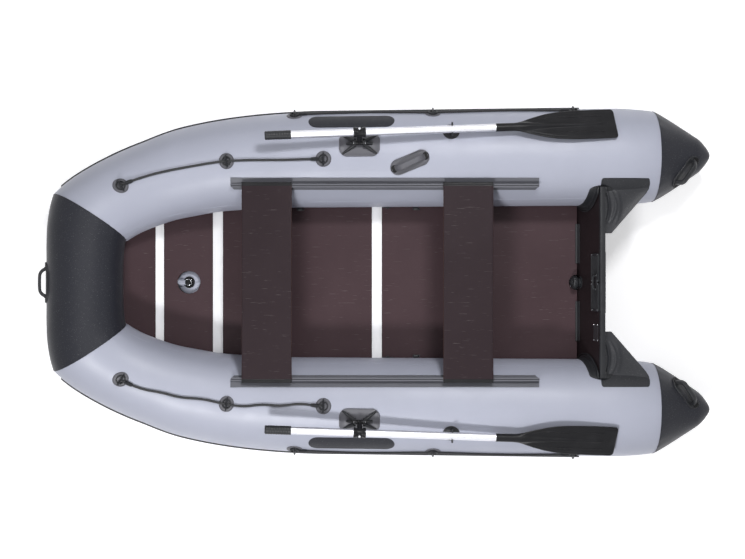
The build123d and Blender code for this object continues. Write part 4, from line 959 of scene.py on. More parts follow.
def make_guard():
    """Wear strip along the keel, with three ribs across its width."""
    x = np.linspace(-0.935, 1.2, 100)
    _, edge_z = panel_edge(x)
    top = np.minimum(keel_line(x), edge_z) - 0.0003
    y = np.array((-31, -30, -24, -22, -18, -16, -4, -2, 2, 4, 16, 18, 22, 24, 30, 31)) / 1000
    drop = np.array((1.4, *(2.4, 2.4, 3.4, 3.4) * 3, 2.4, 2.4, 1.4)) / 1000
    under = np.stack([x[:, None] + 0 * y, y + 0 * x[:, None], top[:, None] - drop], -1)
    over = np.stack([x[:, None] + 0 * y, y + 0 * x[:, None], top[:, None] + 0 * y], -1)
    return [grid(np.concatenate([under, over[:, ::-1]], 1), span=(2.1, 0.07))]


# ---- stage ----
WORLD_LIGHT = 0.13  # strength of the white world on the object
FLOOR_GLOW = 0.45
FLOOR_REACH = 14.0
FLOOR_TOP = -0.001
LAMPS = (  # name, spot, aim, size and power
    ("soft_top", (1.0, 0.0, 8.0), (0, 0, 0), (8.0, 6.0), 90),
    ("soft_ridge", (1.0, 0.0, 7.9), (1.0, 0, 0), (8.0, 1.3), 55),
    ("soft_port", (0.3, 5.5, 3.2), (0, 0.3, 0.3), (7.0, 2.4), 32),
    ("soft_starboard", (0.3, -5.5, 3.2), (0, -0.3, 0.3), (7.0, 2.4), 32),
    ("key_port", (0.9, 2.96, 4.0), (0, 0, 0.1), (0.8, 0.5), 132),
    ("key_starboard", (-0.9, -2.03, 4.0), (0, 0, 0.1), (0.8, 0.5), 92),
)
CAMERA_SPOT = (0.0215, -0.014)
FOCAL_LENGTH = 62.3


def seen_directly(tree):
    """1 for rays from the camera, through glass or off a gloss; 0 for light on the object."""
    path = add(tree, "LightPath").outputs
    seen = maths(tree, "ADD", path["Is Camera Ray"], path["Is Transmission Ray"])
    return maths(tree, "ADD", seen, path["Is Glossy Ray"], clamp=True)


def make_world(scene):
    """World that looks white and lights the object less."""
    world = bpy.data.worlds.new("studio")
    scene.world = world
    world.use_nodes = True
    tree = world.node_tree
    level = add(tree, "MapRange", {0: seen_directly(tree), 3: WORLD_LIGHT, 4: 1.0}).outputs[0]
    back = tree.nodes["Background"]
    back.inputs["Color"].default_value = (1, 1, 1, 1)
    tree.links.new(level, back.inputs["Strength"])


def make_floor(scene):
    """White paper under the boat, which glows a little where it is seen."""
    mesh = bpy.data.meshes.new("floor")
    square = ((-1, -1), (1, -1), (1, 1), (-1, 1))
    corners = [(x * FLOOR_REACH, y * FLOOR_REACH, FLOOR_TOP) for x, y in square]
    mesh.from_pydata(corners, [], [(0, 1, 2, 3)])
    floor = bpy.data.objects.new("floor", mesh)
    scene.collection.objects.link(floor)
    material = bpy.data.materials.new("floor_paper")
    material.use_nodes = True
    tree = material.node_tree
    shader = tree.nodes["Principled BSDF"]
    grain = noise(tree, add(tree, "TexCoord").outputs["Object"], 40.0)
    colour = blend_colour(tree, grain, rgb(240, 240, 242), rgb(246, 246, 248))
    tree.links.new(colour, shader.inputs["Base Color"])
    shader.inputs["Roughness"].default_value = 0.9
    shader.inputs["Specular IOR Level"].default_value = 0.0
    shader.inputs["Emission Color"].default_value = (1, 1, 1, 1)
    tree.links.new(times(tree, seen_directly(tree), FLOOR_GLOW), shader.inputs["Emission Strength"])
    mesh.materials.append(material)


def make_lamp(scene, name, spot, aim, spread, power):
    """Soft box at a spot, turned to a point."""
    light = bpy.data.lights.new(name, "AREA")
    light.shape = "RECTANGLE"
    light.size, light.size_y = spread
    light.energy = power
    lamp = bpy.data.objects.new(name, light)
    scene.collection.objects.link(lamp)
    lamp.location = spot
    lamp.rotation_euler = (Vector(aim) - Vector(spot)).to_track_quat("-Z", "Y").to_euler()


def make_stage(height):
    """World, floor, soft boxes, and the camera at a height over the boat."""
    scene = bpy.context.scene
    scene.view_settings.view_transform = "Standard"
    make_world(scene)
    make_floor(scene)
    for lamp in LAMPS:
        make_lamp(scene, *lamp)
    lens = bpy.data.cameras.new("camera")
    lens.sensor_width = 36.0
    lens.lens = FOCAL_LENGTH
    lens.clip_end = 60
    camera = bpy.data.objects.new("camera", lens)
    scene.collection.objects.link(camera)
    camera.location = (*CAMERA_SPOT, height)
    camera.rotation_euler = (0, 0, np.pi)
    scene.camera = camera


# ---- grab lines ----
INNER_PORT = [
    (1.1883, 0.4519, 0.5292), (1.1062, 0.4949, 0.5117), (1.0027, 0.5119, 0.4979),
    (0.9185, 0.5378, 0.4874), (0.8163, 0.5434, 0.4784), (0.7422, 0.5620, 0.4734),
    (0.7047, 0.5684, 0.4714), (0.6290, 0.5824, 0.4682), (0.5374, 0.5701, 0.4655),
    (0.4566, 0.5788, 0.4648), (0.3613, 0.5670, 0.4638), (0.2891, 0.5764, 0.4653),
    (0.2521, 0.5787, 0.4657),
]
INNER_STARBOARD = [
    (1.1883, -0.4519, 0.5292), (1.0971, -0.4885, 0.5117), (0.9989, -0.5159, 0.4971),
    (0.9029, -0.5358, 0.4861), (0.8038, -0.5543, 0.4774), (0.7378, -0.5643, 0.4731),
    (0.7047, -0.5684, 0.4714), (0.6234, -0.5724, 0.4680), (0.5331, -0.5735, 0.4656),
    (0.4428, -0.5737, 0.4645), (0.3480, -0.5767, 0.4648), (0.2846, -0.5783, 0.4655),
    (0.2521, -0.5787, 0.4657),
]
OUTER_PORT = [
    (0.3943, 0.8032, 0.3335), (0.2929, 0.8096, 0.3279), (0.1804, 0.8151, 0.3189),
    (0.0618, 0.8181, 0.3155), (-0.0568, 0.8183, 0.3191), (-0.1688, 0.8158, 0.3288),
    (-0.2677, 0.8138, 0.3360), (-0.3682, 0.8177, 0.3308), (-0.4821, 0.8232, 0.3217),
    (-0.6027, 0.8262, 0.3183), (-0.7232, 0.8265, 0.3220), (-0.8372, 0.8239, 0.3317),
    (-0.9377, 0.8220, 0.3390),
]
OUTER_STARBOARD = [
    (0.3943, -0.8032, 0.3335), (0.2862, -0.8092, 0.3290), (0.1739, -0.8139, 0.3220),
    (0.0552, -0.8173, 0.3179), (-0.0634, -0.8172, 0.3222), (-0.1754, -0.8149, 0.3311),
    (-0.2677, -0.8138, 0.3360), (-0.3749, -0.8173, 0.3319), (-0.4888, -0.8220, 0.3248),
    (-0.6094, -0.8254, 0.3207), (-0.7300, -0.8253, 0.3251), (-0.8439, -0.8230, 0.3340),
    (-0.9377, -0.8220, 0.3390),
]
LINES = {
    "inner_port": (INNER_PORT, 0.9599),
    "inner_starboard": (INNER_STARBOARD, 0.9557),
    "outer_port": (OUTER_PORT, 1.3349),
    "outer_starboard": (OUTER_STARBOARD, 1.3341),
}


def line_points(route):
    """Points of the NURBS spline that has the route's points as its control points."""
    curve = bpy.data.curves.new("route", "CURVE")
    curve.dimensions = "3D"
    curve.resolution_u = 40
    spline = curve.splines.new("NURBS")
    spline.points.add(len(route) - 1)
    for point, co in zip(spline.points, route):
        point.co = (*co, 1)
    spline.order_u = 3
    spline.use_endpoint_u = True
    probe = bpy.data.objects.new("probe", curve)
    mesh = bpy.data.meshes.new_from_object(probe)
    found = np.array([v.co for v in mesh.vertices], float).reshape(-1, 3)
    bpy.data.objects.remove(probe)
    bpy.data.meshes.remove(mesh)
    bpy.data.curves.remove(curve)
    return found


def line_path(name, step):
    """Points of a grab line at equal steps of about a given length."""
    points = line_points(LINES[name][0])
    length = np.linalg.norm(np.diff(points, axis=0), axis=1).sum()
    return at_equal_steps(points, max(int(length / step), 4))


def make_line(name, diameter):
    """Braided rope: r(s, a) = R (1 + 0.07 max(sin(ks + 4a), sin(ks - 4a)))."""
    route, length = LINES[name]
    path = line_path(name, 0.0022)
    _, across, up = rails_of(path)
    a = np.linspace(0, 2 * np.pi, 20, endpoint=False)
    run = np.linspace(0, length, len(path))[:, None] / 0.011 * 2 * np.pi
    strand = np.maximum(np.sin(run + 4 * a), np.sin(run - 4 * a))
    r = diameter / 2 * (0.93 + 0.07 * strand)
    points = path[:, None] + r[..., None] * (
        np.cos(a)[:, None] * across[:, None] + np.sin(a)[:, None] * up[:, None]
    )
    surface = grid(points, span=(length, np.pi * diameter))
    rope = piece(f"grab_line_{name}", [surface], ["rope"], "hull", "rope",
                 [f"grab_line_{name}"], crease=80)
    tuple(route[0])


# ---- line eyes, handles, oarlocks ----
INNER_EYES = ((1.222, 84.0), (0.724, 90.0), (0.2515, 94.0))
OUTER_EYES = ((0.389, 26.0), (-0.270, 26.0), (-0.940, 26.0))


def make_eyes(places, radius):
    """Round pads with a bevelled rim, a raised ring and a bridge over the line."""
    found = []
    r = radius
    rings = [(0, -0.001), (0, 0.0016), (0.0008, 0.0032), (0.0028, 0.0042), (0.0046, 0.0034),
             (0.0054, 0.0022), (0.0128, 0.0026), (0.0200, 0.0026)]
    ring = [(r - 0.0142, 0.0020), (r - 0.0146, 0.0100), (r - 0.0156, 0.0116), (r - 0.0172, 0.0120),
            (r - 0.0190, 0.0116), (r - 0.0202, 0.0100), (r - 0.0208, 0.0020)]
    for x, angle in places:
        place = on_tube(x, angle)
        found.append(pad(place, (2 * r, 2 * r, r), rings))
        found.append(turned(place, ring, 32))
        y = np.linspace(-0.0225, 0.0225, 31)
        z = 0.0160 - 0.0125 * np.clip((np.abs(y) - 0.0135) / 0.009, 0, 1) ** 2
        bridge = np.stack([0 * y, y, z], -1)
        arch = sweep(bridge, circle(0.0095, 16, 0.50))
        found.append(carried(place, arch))
    return both(found)


def make_ties(name):
    """Seizing at both ends of a line: bulge r(s) with coils, over the line's own path."""
    path = line_path(name, 0.0008)
    found = []
    for run in (path[24:76], path[::-1][24:76]):
        s = np.linspace(0, 1, len(run))
        grow = 1.30 + 0.62 * np.sin(np.pi * s) ** 0.5 + 0.10 * np.sin(s * 26 * np.pi)
        found.append(sweep(run, circle(0.0050, 18), scale=grow))
    return found


def make_handle(place):
    """Moulded handle: a tray with a rounded rim, two dished pockets and a broad arch."""
    base = pad(place, (0.192, 0.075, 0.0375), [
        (0, -0.0015), (0, 0.0036), (0.0010, 0.0058), (0.0028, 0.0070), (0.0052, 0.0068),
        (0.0068, 0.0058), (0.0076, 0.0044), (0.0120, 0.0042), (0.0200, 0.0044), (0.0300, 0.0048),
    ], count=96)
    arch = smooth_path([
        (-0.068, 0, 0.001), (-0.062, 0, 0.010), (-0.054, 0, 0.0215), (-0.040, 0, 0.0305),
        (-0.020, 0, 0.0327), (0.020, 0, 0.0327), (0.040, 0, 0.0305), (0.054, 0, 0.0215),
        (0.062, 0, 0.010), (0.068, 0, 0.001),
    ], 70)
    a = np.linspace(0, 2 * np.pi, 28, endpoint=False)
    section = np.stack([0.0125 * np.sign(np.cos(a)) * np.abs(np.cos(a)) ** 0.6,
                        0.0074 * np.sign(np.sin(a)) * np.abs(np.sin(a)) ** 0.6], -1)
    spread = 1 + 0.30 * np.abs(np.linspace(-1, 1, 70)) ** 5
    grip = carried(place, sweep(arch, section, scale=spread))
    # The pocket rings take the near-black painted shade material, so the pockets read as shaded.
    rim = [(0.0172, 0.0036), (0.0170, 0.0066), (0.0160, 0.0082), (0.0146, 0.0082), (0.0136, 0.0066),
           (0.0132, 0.0056), (0.0060, 0.0053)]
    return [base, grip] + [turned(moved(place, (end, 0, 0)), rim, 32) for end in (-0.078, 0.078)]


BARREL = np.array((0.0815, 0.651769, 0.483524))
LEAN = np.array((0, np.sin(np.radians(35.0)), np.cos(np.radians(35.0))))
PIVOT = BARREL + LEAN * 0.074
OAR_WAY = unit((-1, 0.0435, -0.078))
BLADE_WIDE = np.array((0, np.cos(np.radians(22.0)), -np.sin(np.radians(22.0))))


def on_oar(reach):
    """Place across the oar at a distance from the oarlock: x over the blade, z to its end."""
    return on_plane(PIVOT + OAR_WAY * reach, BLADE_WIDE, OAR_WAY)


def make_lock_base():
    """Cushioned plate with a bead rim and four ribs that rise to two lugs; make_pin makes the pin.
    """
    place = on_tube(0.0815, 77.2)
    plate = pad(place, (0.192, 0.116, 0.040), [
        (0, -0.0012), (0, 0.0042), (0.0014, 0.0062), (0.0042, 0.0070), (0.0075, 0.0062),
        (0.0100, 0.0048), (0.0300, 0.0058), (0.0450, 0.0066),
    ])
    found = [plate]
    for sx in (-1, 1):
        for sy in (-1, 1):
            line = smooth_path([
                (sx * 0.080, sy * 0.044 - 0.002, 0.0045), (sx * 0.060, sy * 0.031 - 0.001, 0.0095),
                (sx * 0.040, sy * 0.019, 0.0150), (sx * 0.022, sy * 0.010, 0.0240),
            ], 20)
            rib = sweep(line, circle(0.0078, 12, 1.2), scale=np.linspace(0.60, 1.15, 20))
            found.append(carried(place, rib))
    for sx in (-1, 1):
        lug = on_plane(BARREL + (sx * 0.022, 0, 0), (0, 1, 0), (1, 0, 0))
        found.append(turned(lug, [(0.0098, -0.0045), (0.0110, -0.0036), (0.0110, 0.0036),
                                  (0.0098, 0.0045)], 28))
        foot = on_plane(BARREL + (sx * 0.022, 0, -0.012), (1, 0, 0), (0, 0, 1))
        found.append(brick(foot, (0.009, 0.028, 0.030), edge=0.002))
    bridge = smooth_path([(-0.060, 0, 0.006), (-0.045, 0, 0.014), (-0.026, 0, 0.020)], 14)
    for mirror_x in (1, -1):
        spine_rib = sweep(bridge * (mirror_x, 1, 1), circle(0.0060, 12, 1.0))
        found.append(carried(place, spine_rib))
    return found


def make_pin():
    """Pin of the oarlock: a turned profile along its barrel."""
    ends = on_plane(BARREL, (0, 1, 0), (1, 0, 0))
    return [turned(ends, [(0.0030, -0.0286), (0.0052, -0.0282), (0.0066, -0.0275),
                          (0.0066, -0.0268),
                          (0.0049, -0.0262), (0.0049, 0.0262), (0.0066, 0.0268), (0.0066, 0.0275),
                          (0.0052, 0.0282), (0.0030, 0.0286)], 20)]


def make_stalk():
    """Barrel that turns on the pin, and a round stem with a step up to its upper pin."""
    barrel = on_plane(BARREL, (0, 1, 0), (1, 0, 0))
    stem = on_plane(BARREL, (1, 0, 0), LEAN)
    return [
        turned(barrel, [(0.0092, -0.0170), (0.0104, -0.0164), (0.0110, -0.0150), (0.0110, -0.0060),
                        (0.0106, -0.0050), (0.0106, 0.0050), (0.0110, 0.0060), (0.0110, 0.0150),
                        (0.0104, 0.0164), (0.0092, 0.0170)], 32),
        turned(stem, [(0.0120, 0.0), (0.0104, 0.0105), (0.0095, 0.0130), (0.0095, 0.0225),
                      (0.0090, 0.0240), (0.0060, 0.0245), (0.0060, 0.0480), (0.0050, 0.0490)], 32),
    ]


def make_shaft():
    """Oar shaft with a plug at each end, seen in the grip's mouth and the blade's socket."""
    place = on_oar(-0.4375)
    return [turned(place, [(0.0100, 0.0010), (0.0160, 0.0012), (0.0175, 0.0030), (0.0175, 0.3000),
                           (0.0175, 0.7000), (0.0175, 1.1380), (0.0160, 1.1400)], 48)]


def make_collar():
    """Waisted sleeve round the oar, its boss on the stalk, a clamp seam and a screw."""
    place = on_oar(0)
    sleeve = turned(place, [
        (0.0177, -0.0286), (0.0226, -0.0285), (0.0238, -0.0278), (0.0242, -0.0262),
        (0.0242, -0.0205), (0.0236, -0.0185), (0.0214, -0.0145), (0.0210, -0.0120),
        (0.0210, 0.0120), (0.0214, 0.0145), (0.0236, 0.0185), (0.0242, 0.0205), (0.0242, 0.0262),
        (0.0238, 0.0278), (0.0226, 0.0285), (0.0177, 0.0286)], 48)
    stem = on_plane(BARREL, (1, 0, 0), LEAN)
    boss = turned(stem, [(0.0112, 0.0252), (0.0124, 0.0262), (0.0126, 0.0290), (0.0126, 0.0480),
                         (0.0150, 0.0540), (0.0150, 0.0600)], 32)
    top = turned(stem, [(0.0140, 0.0900), (0.0128, 0.0960), (0.0118, 0.0985), (0.0100, 0.0993)], 32)
    screw = turned(stem, [(0.0074, 0.0985), (0.0074, 0.1012), (0.0066, 0.1024), (0.0040, 0.1030)],
                   6)
    slit = brick(place, (0.0030, 0.0040, 0.054), (0.0235, 0, 0), 0.0008)
    return [sleeve, boss, top, screw, slit]


def make_grip():
    """Rubber sleeve with a flared mouth, ring grooves and long flutes."""
    z = np.linspace(0, 0.121, 61)
    radius = 0.0205 - 0.0005 * np.cos(2 * np.pi * z / 0.0121) * (z > 0.012) * (z < 0.109)
    radius = radius + 0.0006 * np.exp(-((z - 0.118) / 0.003) ** 2)
    radius = radius - 0.0050 * np.clip(1 - z / 0.004, 0, 1) ** 2
    profile = np.stack([radius, z], -1)
    return [turned(on_oar(-0.4375), profile, 72, ribs=24, depth=0.022)]


def make_blade():
    """Blade as sections over the reach s: a round socket that flattens to a leaf. Its half
    thickness is a bevel to the rim, plus a middle ridge that tapers and two side ribs."""
    length, wide = 0.570, 0.0770
    s = np.concatenate([np.linspace(0, 0.084, 10), np.linspace(0.088, 0.50, 104),
                        np.linspace(0.503, length, 34)])
    turn = np.linspace(0, 2 * np.pi, 264, endpoint=False)
    half = np.interp(s, (0, 0.085, 0.105, 0.130, 0.183, 0.235, 0.287, 0.339, 0.391, 0.46, length),
                     (0.0190, 0.0190, 0.0215, 0.0300, 0.0470, 0.0610, 0.0700, 0.0745, 0.0765, wide,
                      0.0762))
    corner = 0.017
    half = half - corner * (1 - np.sqrt(1 - np.clip((s - length + corner) / corner, 0, 1) ** 2))
    half = half[:, None]
    flat = swell(s, 0.082, 0.190)[:, None]
    zigzag = 1 - 2 * np.abs(turn / np.pi - 2 * np.floor(turn / np.pi / 2 + 0.5))
    across = (1 - flat) * np.cos(turn) + flat * zigzag
    x = half * across
    inner = half - np.abs(x)
    shell = 0.0011 + 0.0021 * swell(inner, 0.0, 0.0045) + 0.0012 * swell(inner, 0.0135, 0.0165)
    shell = shell * np.sqrt(np.clip((length - s) / 0.004, 0.02, 1))[:, None]
    fade = swell(-s, -0.512, -0.490)[:, None]
    height = np.interp(s, (0.085, 0.16, 0.26, 0.49), (0.0190, 0.0150, 0.0085, 0.0042))[:, None]
    width = np.interp(s, (0.085, 0.16, 0.26, 0.49), (0.0190, 0.0150, 0.0105, 0.0070))[:, None]
    ridge = fade * height * np.exp(-np.abs(x / width) ** 3)
    span = (swell(s, 0.232, 0.244) * swell(-s, -0.512, -0.500))[:, None]
    rib = 0.0030 * span * np.exp(-np.abs((np.abs(x) - 0.0405) / 0.0032) ** 6)
    rim = np.sqrt(np.clip(1 - np.abs(across) ** 24, 0.0, 1))
    leaf_y = np.sign(np.sin(turn)) * (shell + ridge + rib) * rim
    y = (1 - flat) * 0.0190 * np.sin(turn) + flat * leaf_y
    slant = 0.004 * swell(s, 0.30, length)[:, None] * x / wide
    points = np.stack([x, y, s[:, None] - slant], -1)
    leaf = grid(on_oar(0.6365)(points), span=(length, 0.2))
    spot = on_plane(PIVOT + OAR_WAY * 1.176, BLADE_WIDE, np.cross(OAR_WAY, BLADE_WIDE))
    ring = turned(spot, [(0.0125, -0.0050), (0.0125, 0.0044), (0.0112, 0.0060), (0.0092, 0.0062),
                         (0.0072, 0.0052), (0.0068, 0.0040)], 36)
    # The plug in the blade's hole takes the near-black painted shade material in place of a
    # see-through hole.
    eye = turned(spot, [(0.0066, -0.0052), (0.0066, 0.0045), (0.0030, 0.0045)], 24)
    return [leaf, ring, eye]


def make_rest():
    """Pad with a cradle of three quarters of a ring round the stowed shaft."""
    place = on_tube(-0.350, 62.0)
    base = pad(place, (0.080, 0.080, 0.040), [
        (0, -0.001), (0, 0.0030), (0.0012, 0.0044), (0.0040, 0.0050), (0.0065, 0.0040),
        (0.0140, 0.0050), (0.0250, 0.0075),
    ])
    reach = (0.0815 + 0.350) / -OAR_WAY[0]
    centre = PIVOT + OAR_WAY * reach
    a = np.radians(np.linspace(-205, 25, 40))
    up = unit(np.cross(OAR_WAY, (0, 1.0, 0)))
    up = up if up[2] > 0 else -up
    across = unit(np.cross(up, OAR_WAY))
    arc = centre + 0.0232 * (np.cos(a)[:, None] * across + np.sin(a)[:, None] * up)
    box = np.array((( -0.0095, -0.0026), (-0.0095, 0.0026), (0.0095, 0.0026), (0.0095, -0.0026)))
    cradle = sweep(arc, box)
    foot = place(np.array((0.0, 0.0, 0.004)))
    post = sweep(np.linspace(foot, centre - up * 0.022, 8), circle(0.0095, 20, 0.8))
    return [base, cradle, post]


# ---- inside ----
RAKE = np.radians(10.0)
TRANSOM_FOOT = -0.996
TRANSOM_THICK = 0.025
TRANSOM_HEIGHT = 0.430
TRANSOM_TOP = (TRANSOM_HEIGHT - FLOOR_HEIGHT) / np.cos(RAKE)
DRAIN_HEIGHT = 0.148


def on_transom():
    """Place on the transom's forward face: x to port, y up the face, z forward."""
    return on_plane((TRANSOM_FOOT, 0, FLOOR_HEIGHT), (0, 1, 0), (np.cos(RAKE), 0, np.sin(RAKE)))


def make_transom():
    """Board between the tubes: its half width at a height follows the tube's circle, moved
    out 12 mm, and its top corners are rounded. Each level is a loop round the board."""
    up = np.concatenate([np.linspace(-0.107, TRANSOM_TOP - 0.016, 60),
                         TRANSOM_TOP - 0.014 * (1 - np.sin(
        np.linspace(0.06, np.pi / 2, 12)))])
    height = FLOOR_HEIGHT + up * np.cos(RAKE)
    reach = STERN_RADIUS + 0.012
    half = np.minimum(STERN[1] - np.sqrt(np.maximum(reach**2 - (height - STERN[2]) ** 2, 0)), 0.452)
    corner = np.clip((up - TRANSOM_TOP + 0.014) / 0.014, 0, 1)
    half = half - 0.014 * (1 - np.sqrt(1 - corner**2))
    e = 0.0012
    share = np.linspace(-1, 1, 41)
    across = np.concatenate([share * (1 - 0.003), [1, 1], share[::-1] * (1 - 0.003), [-1, -1]])
    through = np.concatenate([0 * share, [-e, e - TRANSOM_THICK], 0 * share - TRANSOM_THICK,
                              [e - TRANSOM_THICK, -e]])
    points = np.stack([half[:, None] * across, up[:, None] + 0 * across, 0 * up[:, None] + through],
                      -1)
    return [grid(on_transom()(points), span=(0.43, 0.9))]


def make_last_board():
    """Floor's aft board: loops in x and z over y, their aft end cut by a half oval notch."""
    aft, fore, low, high, e = -0.9915, -0.4521, 0.106, 0.115, 0.0008
    y = np.concatenate([[-1.0], np.linspace(-0.997, -0.10, 30), np.linspace(-0.098, 0.098, 61),
                        np.linspace(0.10, 0.997, 30), [1.0]])
    side = 0.4100 * y[:, None]
    end = aft + 0.040 * np.sqrt(np.clip(1 - (side / 0.038) ** 2, 0, 1))
    edge = e * (np.abs(y) > 0.999)[:, None]
    x = np.concatenate([end + e + edge, end, end, end + e + edge], 1)
    x = np.concatenate([x, [[fore - e, fore, fore, fore - e]] * np.ones((len(y), 1))], 1)
    z = np.array((low, low + e, high - e, high, high, high - e, low + e, low)) + 0 * side
    return [grid(np.stack([x, side + 0 * x, z], -1), span=(0.82, 1.1))]


def make_profile(x, half, slope=0.0):
    """Top of a profile that joins two boards: a low arch with a groove along each edge."""
    flat = on_plane((x, 0, floor_line(x) - 0.0005), (np.cos(slope), 0, np.sin(slope)),
                    (-np.sin(slope), 0, np.cos(slope)))
    return [pad(flat, (0.0490, 2 * half, 0.0006), [
        (0.0002, -0.012), (0, 0.0), (0, 0.0028), (0.0008, 0.0036), (0.0040, 0.0038),
        (0.0050, 0.0032), (0.0060, 0.0032), (0.0070, 0.0038), (0.0150, 0.0042), (0.0230, 0.0043)])]


def make_holder():
    """Rubber profile between tube and transom: a flange on the skin, a wall with a bead, the
    same behind. Its section of (forward, out) follows the tube's circle in the board's plane."""
    angle = np.radians(np.linspace(129.5, 222, 80))
    _, _, radius = spine(t_of(-1.03))
    height = STERN[2] + radius * np.sin(angle)
    face = TRANSOM_FOOT - (height - FLOOR_HEIGHT) * np.tan(RAKE)
    back = -TRANSOM_THICK / np.cos(RAKE)
    wall = np.array((
        (0.0022, 0.0275), (0.0036, 0.0305), (0.0064, 0.0310), (0.0086, 0.0290), (0.0086, 0.0262),
        (0.0062, 0.0240), (0.0060, 0.0200), (0.0084, 0.0180), (0.0090, 0.0150), (0.0092, 0.0090),
        (0.0118, 0.0062), (0.0180, 0.0050), (0.0270, 0.0046), (0.0385, 0.0042), (0.0415, 0.0026),
        (0.0420, -0.0010),
    ))
    rear = wall[::-1] * (-1, 1) + (back, 0)
    section = np.vstack([[(0.0006, 0.004)], wall, rear, [(back - 0.0006, 0.004)]])
    near = np.clip((angle - angle[0]) / 0.115, 0, 1)
    round_end = np.sqrt(1 - (1 - near) ** 2) * 0.97 + 0.03
    middle = back / 2
    reach = middle + (section[:, 0] - middle) * np.where(
        np.abs(section[:, 0] - middle) > 0.03, round_end[:, None], 1.0)
    lift = np.where(section[:, 1] > 0.012, section[:, 1] * np.sqrt(near)[:, None], section[:, 1])
    x = face[:, None] + reach
    surface = skin(t_of(x), angle[:, None] + 0 * x, np.maximum(lift, -0.001) + 0 * x)
    return grid(surface, span=(0.4, 0.2))


def make_seat(x, corner=0.006):
    """Bench board with eased edges, and the dark strip and lip at each end of it."""
    flat = on_plane((x, 0, 0.4499), (1, 0, 0), (0, 0, 1))
    e, thick = 0.0016, 0.013
    board = pad(flat, (0.234, 0.938, corner), [
        (e, 0), (e * 0.3, e * 0.3), (0, e), (0, thick - e), (e * 0.3, thick - e * 0.3), (e, thick),
        (0.012, thick), (0.060, thick), (0.110, thick)])
    ends = []
    for side in (-1, 1):
        strip = on_plane((x, side * 0.4615, 0.4628), (1, 0, 0), (0, 0, 1))
        ends.append(pad(strip, (0.2345, 0.0172, 0.003), [
            (0.0003, 0), (0, 0.0009), (0.0008, 0.0014), (0.0035, 0.0008), (0.0060, 0.0014),
            (0.0075, 0.0014)]))
        lip = on_plane((x, side * 0.4697, 0.4570), (1, 0, 0), (0, 0, 1))
        ends.append(brick(lip, (0.2345, 0.0016, 0.0130), edge=0.0006))
    return board, ends


def rivets(place, spots, radius=0.0032):
    """Round heads at the spots of a place."""
    head = [(radius, -0.0004), (radius, 0.0006), (radius * 0.8, 0.0014), (radius * 0.35, 0.0018)]
    return [turned(moved(place, spot), head, 16) for spot in spots]


def make_inner_pad():
    """Two plates with ribs across them, a loop at the middle, and rivets in steel."""
    place = on_transom()
    top = TRANSOM_TOP - 0.013
    plates, pins = [], []
    for sx in (-1, 1):
        middle = (sx * 0.06975, top - 0.049, 0)
        plates.append(pad(moved(place, middle), (0.1355, 0.098, 0.010), [
            (0.0006, 0.0), (0, 0.0062), (0.0014, 0.0080), (0.0042, 0.0080), (0.0056, 0.0062),
            (0.020, 0.0062)]))
        for k in range(5):
            at = (sx * 0.06975, top - 0.017 - 0.016 * k, 0.0068)
            plates.append(brick(place, (0.112, 0.0065, 0.0028), at, 0.0009))
        for px in (0.008, 0.1315):
            for py in (0.009, 0.089):
                pins.append((sx * px, top - py, 0.0080))
    loop = np.array([(-0.030, 0, 0.004), (-0.030, 0, 0.018), (-0.024, 0, 0.0245),
                     (0.024, 0, 0.0245),
                     (0.030, 0, 0.018), (0.030, 0, 0.004)]) + (0, top - 0.022, 0)
    bow = sweep(place(smooth_path(loop, 40)), circle(0.0042, 14, 1.2))
    foot = brick(place, (0.076, 0.030, 0.003), (0, top - 0.022, 0.0092), 0.0012)
    steel = rivets(place, pins + [(-0.034, top - 0.022, 0.0106), (0.034, top - 0.022, 0.0106)])
    return plates + [bow, foot], steel


def make_outer_pad():
    """Wear plate behind the transom, with long ribs."""
    place = on_transom()
    middle = np.array((0, TRANSOM_TOP - 0.098, -0.025))
    turn = lambda p: place(p * (1, 1, -1) + middle)
    found = [pad(turn, (0.300, 0.170, 0.012), [
        (0.0006, 0.0), (0, 0.0052), (0.0014, 0.0070), (0.0050, 0.0070), (0.0066, 0.0052),
        (0.03, 0.0052)])]
    for k in range(7):
        found.append(brick(turn, (0.276, 0.009, 0.0022), (0, 0.066 - 0.022 * k, 0.0059), 0.0008))
    return found


def make_plate():
    """Bare plate on the transom, with a rolled edge and four rivets."""
    place = on_transom()
    spot = (0.238, TRANSOM_TOP - 0.061, 0)
    plate = pad(moved(place, spot), (0.082, 0.062, 0.006), [
        (0.0004, 0), (0, 0.0010), (0.0006, 0.0015), (0.0040, 0.0015), (0.0048, 0.0011),
        (0.02, 0.0011)])
    pins = [(0.238 + sx * 0.036, spot[1] + sy * 0.026, 0.0014) for sx in (-1, 1) for sy in (-1, 1)]
    return [plate], rivets(place, pins, 0.0030)


def make_drain():
    """Drain socket: fluted cap with a finger bar in a flange."""
    seat = moved(on_transom(), (0, (DRAIN_HEIGHT - FLOOR_HEIGHT) / np.cos(RAKE), 0))
    flange = turned(seat, [(0.0310, 0.0), (0.0310, 0.0032), (0.0296, 0.0044), (0.0260, 0.0046),
                           (0.0246, 0.0040)], 48)
    cap = turned(seat, [(0.0200, 0.004), (0.0200, 0.0130), (0.0250, 0.0150), (0.0264, 0.0180),
                        (0.0330, 0.0220), (0.0338, 0.0260), (0.0330, 0.0385), (0.0310, 0.0420),
                        (0.0250, 0.0440), (0.0160, 0.0400),
                        (0.0150, 0.0362)], 96, ribs=24, depth=0.04)
    bar = brick(seat, (0.031, 0.006, 0.009), (0, 0, 0.0398), 0.0018)
    return [flange, cap, bar]


